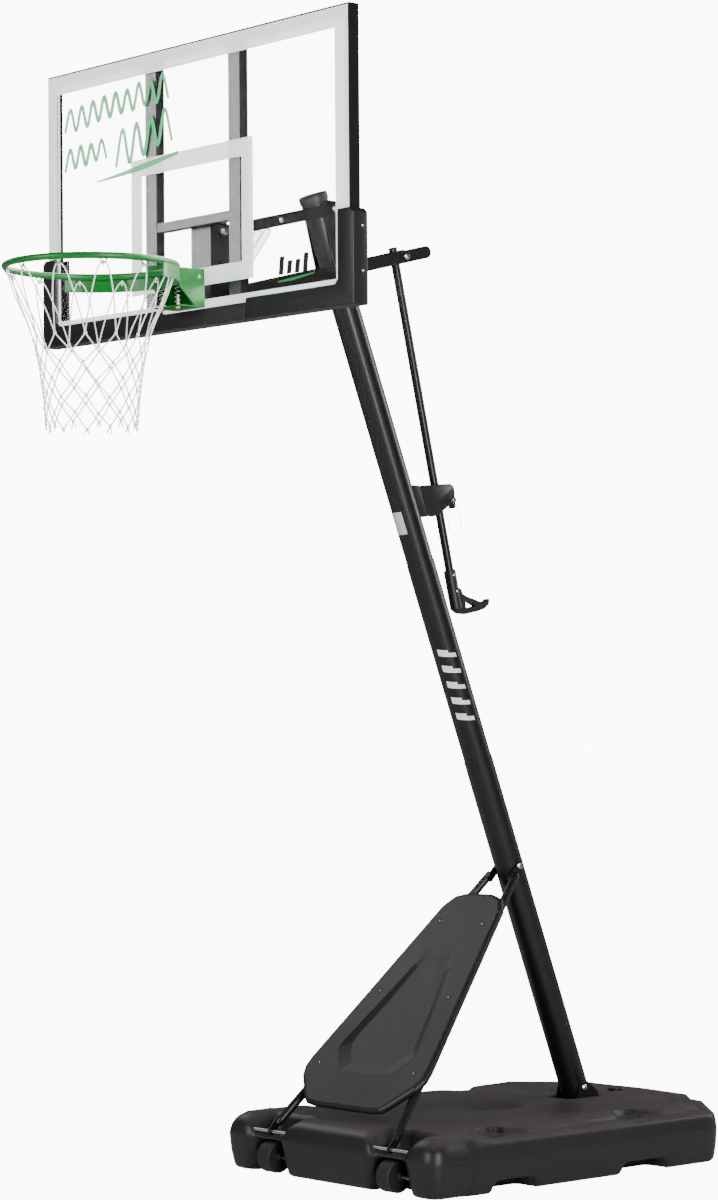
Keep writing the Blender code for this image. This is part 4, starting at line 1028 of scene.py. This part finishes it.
@dataclass
class BoardPrint:
    """The white print on the front of the clear panel, and the generic marks."""

    face_y: float = -1.1301
    depth: float = 0.00025
    half_width: float = 0.681
    top: float = 3.2275
    bottom: float = 2.449
    band: float = 0.055
    target_half: float = 0.277
    target_low: float = 2.543
    target_high: float = 2.932
    target_strip: float = 0.050

    def build(self) -> None:
        """Builds the border, the target and the marks."""
        self.border()
        self.target()
        self.brush_marks()
        self.corner_mark()

    def strip(self, shape: bmesh.types.BMesh, x0: float, x1: float, z0: float, z1: float) -> None:
        """Adds an upright rectangle of print."""
        y = self.face_y
        outline = [Vector((x0, y, z0)), Vector((x1, y, z0)), Vector((x1, y, z1)), Vector((x0, y, z1))]
        add_prism(shape, outline, Vector((0, -self.depth, 0)))

    def finished(self, name: str, shape: bmesh.types.BMesh, look: Finish) -> None:
        """Turns the print into a piece that rides on the board."""
        made = object_from(name, shape, look)
        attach(made, Body.BOARD.value)
        LOG.info("%s: print", name)

    def border(self) -> None:
        """Builds the white band round the panel's edge."""
        shape = bmesh.new()
        w, b = self.half_width, self.band
        self.strip(shape, -w, w, self.top - b, self.top)
        self.strip(shape, -w, -w + b, self.bottom + b, self.top - b)
        self.strip(shape, w - b, w, self.bottom + b, self.top - b)
        self.strip(shape, -w, w, self.bottom, self.bottom + b)
        self.finished("board_border_print", shape, PRINT_WHITE)
        line = bmesh.new()
        inner = w - b + 0.012
        self_y = self.face_y
        self.face_y = self_y - self.depth - 0.00005
        self.strip(line, -inner - 0.0012, -inner + 0.0012, self.bottom + b, self.top - b)
        self.face_y = self_y
        self.finished("board_edge_line", line, PRINT_BLACK)

    def target(self) -> None:
        """Builds the white shooter's square."""
        shape = bmesh.new()
        h, s = self.target_half, self.target_strip
        self.strip(shape, -h, h, self.target_high - s, self.target_high)
        self.strip(shape, -h, h, self.target_low, self.target_low + s)
        self.strip(shape, -h, -h + s, self.target_low + s, self.target_high - s)
        self.strip(shape, h - s, h, self.target_low + s, self.target_high - s)
        self.finished("target_square_print", shape, PRINT_WHITE)

    def ribbon(self, shape: bmesh.types.BMesh, hand: list[tuple[float, float]], widths: list[float]) -> None:
        """Adds a flat brush stroke through points of (x, z).

        Args:
            shape: Mesh to add to.
            hand: Points that the stroke passes.
            widths: Full width of the stroke at its start, middle and end.
        """
        line = smooth_line([Vector((x, self.face_y, z)) for x, z in hand], 8)
        loops = []
        for i, point in enumerate(line):
            ahead = (line[min(i + 1, len(line) - 1)] - line[max(i - 1, 0)]).normalized()
            across = ahead.cross(Y_AXIS)
            share = i / (len(line) - 1)
            first, middle, last = widths
            if share < 0.5:
                width = first + (middle - first) * share * 2
            else:
                width = middle + (last - middle) * (share * 2 - 1)
            left, right = point + across * width / 2, point - across * width / 2
            back = Vector((0, -self.depth, 0))
            loops.append([left, right, right + back, left + back])
        add_loft(shape, loops)

    def brush_marks(self) -> None:
        """Builds two lines of loose green brush strokes and the slanting stroke under them."""
        shape = bmesh.new()
        rng = random.Random(7)
        for x0, x1, z0, z1, height, count in (
            (-0.600, -0.100, 3.085, 3.120, 0.070, 9),
            (-0.600, -0.395, 2.965, 2.985, 0.060, 4),
            (-0.350, -0.085, 2.965, 3.015, 0.105, 4),
        ):
            points = []
            for i in range(2 * count + 1):
                share = i / (2 * count)
                swing = height / 2 if i % 2 else -height / 2
                points.append((x0 + (x1 - x0) * share, z0 + (z1 - z0) * share
                               + swing * (0.82 + 0.3 * rng.random()) + height * 0.05))
            self.ribbon(shape, points, [0.012, 0.016, 0.011])
        self.finished("brush_marks", shape, PRINT_GREEN)
        stroke = bmesh.new()
        self.face_y -= 0.0003
        self.ribbon(stroke, [(-0.445, 2.893), (-0.30, 2.903), (-0.17, 2.916), (-0.055, 2.930)],
                    [0.004, 0.018, 0.010])
        self.finished("brush_underline", stroke, PRINT_GREEN)

    def corner_mark(self) -> None:
        """Builds the small generic mark: four black bars over a green line."""
        shape = bmesh.new()
        for i, height in enumerate((0.050, 0.036, 0.036, 0.050)):
            left = 0.385 + i * 0.034
            y = self.face_y
            outline = [Vector((left, y, 2.538)), Vector((left + 0.020, y, 2.538)),
                       Vector((left + 0.026, y, 2.538 + height)), Vector((left + 0.006, y, 2.538 + height))]
            add_prism(shape, outline, Vector((0, -self.depth, 0)))
        self.finished("corner_mark_bars", shape, PRINT_BLACK)
        line = bmesh.new()
        self.ribbon(line, [(0.382, 2.520), (0.45, 2.523), (0.535, 2.530)], [0.004, 0.007, 0.004])
        self.finished("corner_mark_line", line, PRINT_DEEP_GREEN)


@dataclass
class BoardScrews:
    """Small screws that hold the board's pads and frame."""

    pad_back_y: float = -1.0857
    frame_back_y: float = -1.0957

    def build(self) -> None:
        """Sets the screw heads on the frame's back and the pads."""
        back, side = Vector((0, 1, 0)), Vector((1, 0, 0))
        pads = [(Vector((x, self.pad_back_y, z)), back) for x in (-0.672, 0.672) for z in (2.475, 2.62)]
        pads += [(Vector((s * 0.705, -1.105, z)), side * s) for s in (-1, 1) for z in (2.52, 2.64)]
        Fastener(Head.PAN, 0.0045, 0.0018).place("pad_screws", pads, ZINC, Body.BOARD)
        rails = [(Vector((x, self.frame_back_y, 3.2195)), back) for x in (-0.62, -0.19, 0.19, 0.62)]
        rails += [(Vector((s * 0.6725, self.frame_back_y, z)), back) for s in (-1, 1) for z in (2.95,)]
        Fastener(Head.RIVET, 0.0040, 0.0016).place("rail_rivets", rails, BLACK_COAT, Body.BOARD)


# Ring and net ----------------------------------------------------------------------------------------

NET_TURN = math.radians(2.0)


@dataclass
class Ring:
    """Detail of the ring: its net hooks and the ribbed collar behind it."""

    centre: Vector = field(default_factory=lambda: Vector((0.0, -1.475, 2.575)))
    radius: float = 0.234
    tube: float = 0.009
    hooks: int = 12

    def hook_angles(self) -> list[float]:
        """Returns the angle of each hook about the ring's centre."""
        return [2 * math.pi * i / self.hooks + NET_TURN for i in range(self.hooks)]

    def build(self) -> None:
        """Builds the smooth ring, the hooks and the collar's ribs."""
        self.hoop()
        self.net_hooks()
        self.collar_ribs()

    def net_hooks(self) -> None:
        """Sets a bent wire hook under the ring at each net loop."""
        shape = bmesh.new()
        half = 0.0085
        line = [Vector((0, -half, 0.0)), Vector((0, -half, -0.004))]
        line += [Vector((0, -half * math.cos(a), -0.004 - 0.0085 * math.sin(a)))
                 for a in [math.pi * i / 8 for i in range(1, 8)]]
        line += [Vector((0, half, -0.004)), Vector((0, half, 0.0))]
        add_tube(shape, line, 0.0019, 6)
        template = object_from("shape_hook", shape, GREEN_COAT)
        template.hide_render = True
        spots = []
        for angle in self.hook_angles():
            out = Vector((math.cos(angle), math.sin(angle), 0))
            place = self.centre + out * self.radius + Vector((0, 0, -self.tube + 0.0015))
            spots.append((place, (0.0, 0.0, angle)))
        made = set_on_points("net_hooks", template, spots, GREEN_COAT)
        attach(made, Body.RIM.value)
        LOG.info("net_hooks: %d", len(spots))

    def hoop(self) -> None:
        """Builds the round bar of the ring with a smooth outline, over the frame's own."""
        shape = bmesh.new()
        loops = []
        for i in range(160):
            a = 2 * math.pi * i / 160
            out = Vector((math.cos(a), math.sin(a), 0))
            loops.append([self.centre + out * self.radius
                          + (out * math.cos(t) + Z_AXIS * math.sin(t)) * (self.tube + 0.0001)
                          for t in [2 * math.pi * k / 18 for k in range(18)]])
        add_loft(shape, loops, True)
        made = object_from("ring_bar", shape, GREEN_COAT)
        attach(made, Body.RIM.value)
        LOG.info("ring_bar: built")

    def collar_ribs(self) -> None:
        """Adds the upright ribs pressed in the collar behind the ring."""
        shape = bmesh.new()
        for i in range(15):
            a = math.radians(90 - 13.0 + 26.0 * i / 14)
            out = Vector((math.cos(a), math.sin(a), 0))
            low = self.centre + out * (self.radius + 0.0102)
            low.z = 2.560
            add_tube(shape, [low + Vector((0, 0, h)) for h in (0.0, 0.012, 0.026, 0.037)], 0.0014, 8)
        made = object_from("collar_ribs", shape, GREEN_COAT)
        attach(made, Body.RIM.value)
        LOG.info("collar_ribs: 15")


@dataclass
class Net:
    """The knotted net, its twine following the sleeve that stands for it in the frame."""

    centre: Vector = field(default_factory=lambda: Vector((0.0, -1.475, 2.5657)))
    cells: int = 12
    twine: float = 0.0019
    sleeve: tuple[tuple[float, float], ...] = (
        (0.0, 0.234), (0.018, 0.229), (0.085, 0.204), (0.140, 0.179), (0.195, 0.160), (0.270, 0.144),
        (0.360, 0.133), (0.446, 0.127),
    )
    rows: tuple[float, ...] = (0.004, 0.190, 0.238, 0.286, 0.333, 0.380, 0.422)
    tail: float = 0.444
    seed: int = 11

    def reach(self, down: float) -> float:
        """Returns the sleeve's radius that far down."""
        for (d0, r0), (d1, r1) in zip(self.sleeve, self.sleeve[1:]):
            if down <= d1:
                return r0 + (r1 - r0) * (down - d0) / (d1 - d0)
        return self.sleeve[-1][1]

    def spot(self, angle: float, down: float) -> Vector:
        """Returns the middle of the twine at an angle and a drop."""
        radius = self.reach(down) - 0.003
        return self.centre + Vector((math.cos(angle) * radius, math.sin(angle) * radius, -down))

    def build(self) -> None:
        """Builds the strands and the knots, and lets them stand for the sleeve."""
        rng = random.Random(self.seed)
        step = 2 * math.pi / self.cells
        grid = []
        for row, down in enumerate(self.rows):
            shift = 0.0 if row % 2 == 0 else 0.5
            jitter = 0.0 if row == 0 else 1.0
            grid.append([((i + shift) * step + NET_TURN + jitter * rng.uniform(-0.035, 0.035),
                          down + jitter * rng.uniform(-0.005, 0.005)) for i in range(self.cells)])
        points: list[Vector] = []
        edges: list[tuple[int, int]] = []
        knots: list[tuple[Vector, Vector]] = []

        def strand(first: tuple[float, float], last: tuple[float, float], bow: float, steps: int) -> None:
            """Adds one strand between two places, bowed a little."""
            start = len(points)
            (a0, d0), (a1, d1) = first, last
            a1 += round((a0 - a1) / (2 * math.pi)) * 2 * math.pi
            for k in range(steps + 1):
                t = k / steps
                swell = math.sin(math.pi * t) * bow
                across = t if steps < 20 else (0.20 * (1 - math.exp(-16 * t)) + 0.80 * t)
                points.append(self.spot(a0 + (a1 - a0) * across + swell, min(self.tail, d0 + (d1 - d0) * t)))
                if k:
                    edges.append((start + k - 1, start + k))

        for row in range(len(grid) - 1):
            offset = -1 if row % 2 == 0 else 0
            for i, place in enumerate(grid[row]):
                left = grid[row + 1][(i + offset) % self.cells]
                right = grid[row + 1][(i + offset + 1) % self.cells]
                bow = 0.012 if row else 0.0
                strand(place, left, bow, 10 if row else 20)
                strand(place, right, -bow, 10 if row else 20)
        for row in grid[1:]:
            for angle, down in row:
                at = self.spot(angle, down)
                knots.append((at, Vector((math.cos(angle), math.sin(angle), 0.25)).normalized()))
        for angle, down in grid[-1]:
            for side in (-1, 1):
                end = (angle + side * rng.uniform(0.03, 0.075), self.tail - rng.uniform(0, 0.008))
                strand((angle, down), end, 0.0, 4)
        for angle, down in grid[0]:
            loop = len(points)
            middle = self.spot(angle, 0.006)
            out = Vector((math.cos(angle), math.sin(angle), 0))
            for k in range(13):
                t = 2 * math.pi * k / 12
                lift = Vector((0, 0, -0.004 + 0.0065 * math.cos(t)))
                points.append(middle + out * 0.0045 * math.sin(t) + lift)
                if k:
                    edges.append((loop + k - 1, loop + k))
        mesh = bpy.data.meshes.new("net_strands")
        mesh.from_pydata(points, edges, [])
        strands = bpy.data.objects.new("net_strands", mesh)
        bpy.context.scene.collection.objects.link(strands)
        run_tree(strands, twine_tree(), {"Radius": self.twine, "Sides": 7, "Finish": TWINE.build()})
        shape = bmesh.new()
        add_turned(shape, Vector((0, 0, -0.0042)), Z_AXIS,
                   [(0, 0.0012), (0.001, 0.0040), (0.0034, 0.0052), (0.0058, 0.0044), (0.0084, 0.0014)], 10)
        template = object_from("shape_knot", shape, TWINE)
        template.hide_render = True
        tied = set_on_points("net_knots", template, knots, TWINE)
        for piece in (strands, tied):
            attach(piece, Body.RIM.value)
        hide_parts("net")
        LOG.info("net: %d strands points, %d knots", len(points), len(knots))


# Arms ------------------------------------------------------------------------------------------------


@dataclass
class LiftSprings:
    """The two long tension springs between the arms, as smooth coils."""

    anchor: Vector = field(default_factory=lambda: Vector((0.0, -0.850, 2.7504)))
    foot: Vector = field(default_factory=lambda: Vector((0.0, -1.0112, 2.5291)))
    side: float = 0.020
    radius: float = 0.0105
    wire: float = 0.0015
    turns: int = 34
    turn_points: int = 14
    neck: float = 0.024
    eye_radius: float = 0.0085
    eye_points: int = 9

    def build(self) -> None:
        """Builds both springs, each standing for its own coarse coil."""
        for label, sign in (("left", -1), ("right", 1)):
            shift = Vector((sign * self.side, 0, 0))
            start, end = self.anchor + shift, self.foot + shift
            axis = (end - start).normalized()
            across = X_AXIS
            other = axis.cross(across)
            length = (end - start).length
            eye = [math.pi * 2 * i / self.eye_points for i in range(self.eye_points)]
            line = [start + (other * math.cos(a) + axis * math.sin(a)) * self.eye_radius for a in eye]
            coils = self.turns * self.turn_points
            for i in range(coils + 1):
                t = i / coils
                a = 2 * math.pi * self.turns * t
                along = self.neck + (length - 2 * self.neck) * t
                swell = min(1.0, 0.35 + 3.5 * min(t, 1 - t) * self.turns / 10)
                round_axis = (across * math.cos(a) + other * math.sin(a)) * self.radius * swell
                line.append(start + axis * along + round_axis)
            line += [end + (other * math.cos(a) - axis * math.sin(a)) * self.eye_radius for a in eye]
            shape = bmesh.new()
            add_tube(shape, line, self.wire, 7)
            made = object_from("smooth_spring_" + label, shape, SPRING_STEEL)
            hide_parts("lift_spring_" + label)
            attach(made, Body.LIFT_SPRINGS.value)
            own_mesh(made)
            LOG.info("smooth_spring_%s: %d turns", label, self.turns)


@dataclass
class RimSprings:
    """The two short compression springs under the ring's lever."""

    foot: Vector = field(default_factory=lambda: Vector((0.0, -1.205, 2.4865)))
    side: float = 0.035
    length: float = 0.0720
    radius: float = 0.0082
    wire: float = 0.0012
    turns: int = 6
    turn_points: int = 18

    def build(self) -> None:
        """Builds both springs; on the real hoop they shorten as the ring gives way."""
        for label, sign in (("left", -1), ("right", 1)):
            foot = self.foot + Vector((sign * self.side, 0, 0))
            count = self.turns * self.turn_points
            line = []
            for i in range(count + 1):
                a = 2 * math.pi * self.turns * i / count
                line.append(foot + Vector((self.radius * math.cos(a), self.radius * math.sin(a),
                                           self.length * i / count)))
            shape = bmesh.new()
            add_tube(shape, line, self.wire, 8)
            made = object_from("smooth_rim_spring_" + label, shape, SPRING_STEEL)
            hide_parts("rim_spring_" + label)
            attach(made, Body.BOARD.value)
            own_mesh(made)
            LOG.info("smooth_rim_spring_%s: %d turns", label, self.turns)


# Pole ------------------------------------------------------------------------------------------------


@dataclass
class PoleDetail:
    """The generic white marks on the leaning pole."""

    base: Vector = field(default_factory=lambda: Vector((0.0, 0.332, 0.19)))
    lean: float = math.radians(21.0)
    radius: float = 0.0416

    def point(self, z: float, angle: float, out: float) -> Vector:
        """Returns a point round the pole at a height on its axis."""
        axis = Vector((0, -math.sin(self.lean), math.cos(self.lean)))
        centre = Vector((0, self.base.y - math.tan(self.lean) * (z - self.base.z), z))
        other = axis.cross(X_AXIS)
        return centre + (X_AXIS * math.cos(angle) - other * math.sin(angle)) * out

    def patch(
        self, shape: bmesh.types.BMesh, z0: float, z1: float, a0: float, a1: float, slant: float
    ) -> None:
        """Adds a thin curved plate of paint on the pole.

        Args:
            shape: Mesh to add to.
            z0: Lower height.
            z1: Upper height.
            a0: First angle, degrees.
            a1: Last angle, degrees.
            slant: How much higher the last angle stands.
        """
        count = 10
        inner, outer = [], []
        for edge, angles in ((z0, range(count + 1)), (z1, range(count, -1, -1))):
            for i in angles:
                share = i / count
                a = math.radians(a0 + (a1 - a0) * share)
                z = edge + slant * share
                inner.append(self.point(z, a, self.radius + 0.00005))
                outer.append(self.point(z, a, self.radius + 0.0003))
        rows = [[shape.verts.new(p) for p in row] for row in (inner, outer)]
        last = len(inner)
        for i in range(last):
            j = (i + 1) % last
            shape.faces.new((rows[0][i], rows[0][j], rows[1][j], rows[1][i]))
        for row in rows:
            for i in range(count):
                shape.faces.new((row[i], row[i + 1], row[last - 2 - i], row[last - 1 - i]))

    def build(self) -> None:
        """Builds the white marks."""
        shape = bmesh.new()
        for i in range(5):
            low = 1.325 + i * 0.047
            self.patch(shape, low, low + 0.012, 4, 78, 0.016)
            self.patch(shape, low + 0.019, low + 0.026, 34, 78, 0.009)
        made = object_from("pole_marks", shape, MARK_WHITE, 20)
        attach(made, Body.BASE.value)
        LOG.info("pole_marks: 10 bars")


# Shield ----------------------------------------------------------------------------------------------


@dataclass
class Shield:
    """The front shield: a moulded plate with a stepped V panel, and its screws."""

    strut_top: Vector = field(default_factory=lambda: Vector((0.0, 0.066, 0.883)))
    strut_foot: Vector = field(default_factory=lambda: Vector((0.0, -0.650, 0.125)))
    back: float = 0.0128
    thick: float = 0.021
    half: tuple[tuple[float, float], ...] = (
        (0.052, 0.137), (0.100, 0.152), (0.128, 0.192), (0.152, 0.300), (0.210, 0.560), (0.262, 0.788),
        (0.264, 0.822), (0.250, 0.855), (0.186, 0.925), (0.165, 0.942), (0.120, 0.948),
    )

    def point(self, x: float, down: float, out: float) -> Vector:
        """Returns a point of the shield: across, down the struts and out in front."""
        slope = (self.strut_foot - self.strut_top).normalized()
        square = Vector((0, slope.z, -slope.y))
        return self.strut_top + slope * down + square * out + Vector((x, 0, 0))

    def panel(self) -> bpy.types.Object:
        """Builds the plate with its rounded rim and the V panel let into its front.

        Returns:
            The finished plate.
        """
        outline = list(self.half) + [(-x, v) for x, v in reversed(self.half)]
        middle = sum(v for _, v in self.half) / len(self.half)
        front = self.back + self.thick
        rim = [(self.back, 0.965), (self.back, 0.985), (self.back + 0.003, 0.998), (self.back + 0.008, 1.0),
               (front - 0.0085, 1.0), (front - 0.004, 0.992), (front - 0.0012, 0.975), (front, 0.950)]
        inner = [(0.026, 0.330), (0.052, 0.335), (0.062, 0.360), (0.078, 0.420), (0.118, 0.560),
                 (0.166, 0.720), (0.168, 0.745), (0.158, 0.762), (0.118, 0.812), (0.100, 0.822), (0.060, 0.824)]
        panel = inner + [(-x, v) for x, v in reversed(inner)]
        loops = [[self.point(x * s, middle + (v - middle) * (1 - (1 - s) * 0.55), out) for x, v in outline]
                 for out, s in rim]
        core = 0.560
        for share, depth in ((1.00, 0.0), (0.80, 0.0075), (0.60, 0.0078)):
            loops.append([
                self.point(x * share, core + (v - core) * (1 - (1 - share) * 0.62) - 0.02 * (1 - share),
                           front - depth * min(1.0, max(0.0, (v - 0.330) / 0.25)))
                for x, v in panel
            ])
        shape = bmesh.new()
        add_loft(shape, loops)
        return object_from("moulded_shield", shape, SHIELD, 5.0)

    def build(self) -> None:
        """Builds the panel and its screws."""
        made = self.panel()
        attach(made, Body.BASE.value)
        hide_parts("shield_panel")
        LOG.info("moulded_shield: built")
        front = self.back + self.thick
        out = (self.point(0, 0, 1) - self.point(0, 0, 0)).normalized()
        places = [(s * half, down) for down, half in ((0.2535, 0.093), (0.528, 0.151), (0.8036, 0.208))
                  for s in (-1, 1)]
        spots = [(self.point(x, down, front + 0.0002), out) for x, down in places]
        Fastener(Head.PAN, 0.0052, 0.0024).place("shield_screws", spots, PIN, Body.BASE)
        # Thin dark discs round the screws: painted shade in their recesses.
        Fastener(Head.RIVET, 0.0078, 0.0006).place("shield_screw_cups", spots, PAINTED_SHADE_BLACK, Body.BASE)


# Tether ----------------------------------------------------------------------------------------------


@dataclass
class Tether:
    """The pin's thin steel tether, a loop from the pin's ring back to the housing."""

    neck: Vector = field(default_factory=lambda: Vector((0.0305, -0.1765, 1.9751)))
    diameter: float = 0.0015

    def build(self) -> None:
        x = self.neck.x
        start = Vector((x, self.neck.y + 0.0004, self.neck.z - 0.0062 - 0.0008 - self.diameter / 2 - 0.0003))
        hand = [start, Vector((x, -0.165, 1.956)), Vector((x - 0.002, -0.150, 1.940)),
                Vector((x - 0.006, -0.139, 1.915)), Vector((x - 0.010, -0.141, 1.888)),
                Vector((x - 0.014, -0.156, 1.873)), Vector((x - 0.016, -0.171, 1.882)),
                Vector((x - 0.015, -0.181, 1.905)), Vector((x - 0.012, -0.190, 1.935)),
                Vector((x - 0.010, -0.196, 1.9550 - self.diameter / 2 - 0.0003))]
        line = smooth_line(hand, 6)
        shape = bmesh.new()
        add_tube(shape, line, self.diameter / 2, 8)
        made = object_from("tether_cable", shape, CABLE)
        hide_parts("lanyard")
        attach(made, Body.BASE.value)


# Build -----------------------------------------------------------------------------------------------


def main() -> None:
    """Builds the scene piece by piece."""
    logging.basicConfig(level=logging.INFO, format="%(message)s")
    for obj in list(bpy.data.objects):
        bpy.data.objects.remove(obj, do_unlink=True)
    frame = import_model()
    Stage().build()
    FramePieces(frame["nodes"]).dress()
    SoftPieces(frame["nodes"]).build()
    Tank(frame["nodes"]["tank"]).build()
    BoardPrint().build()
    BoardScrews().build()
    Ring().build()
    Net().build()
    LiftSprings().build()
    RimSprings().build()
    PoleDetail().build()
    Shield().build()
    Tether().build()
    drop_templates()


if __name__ == "__main__":
    main()
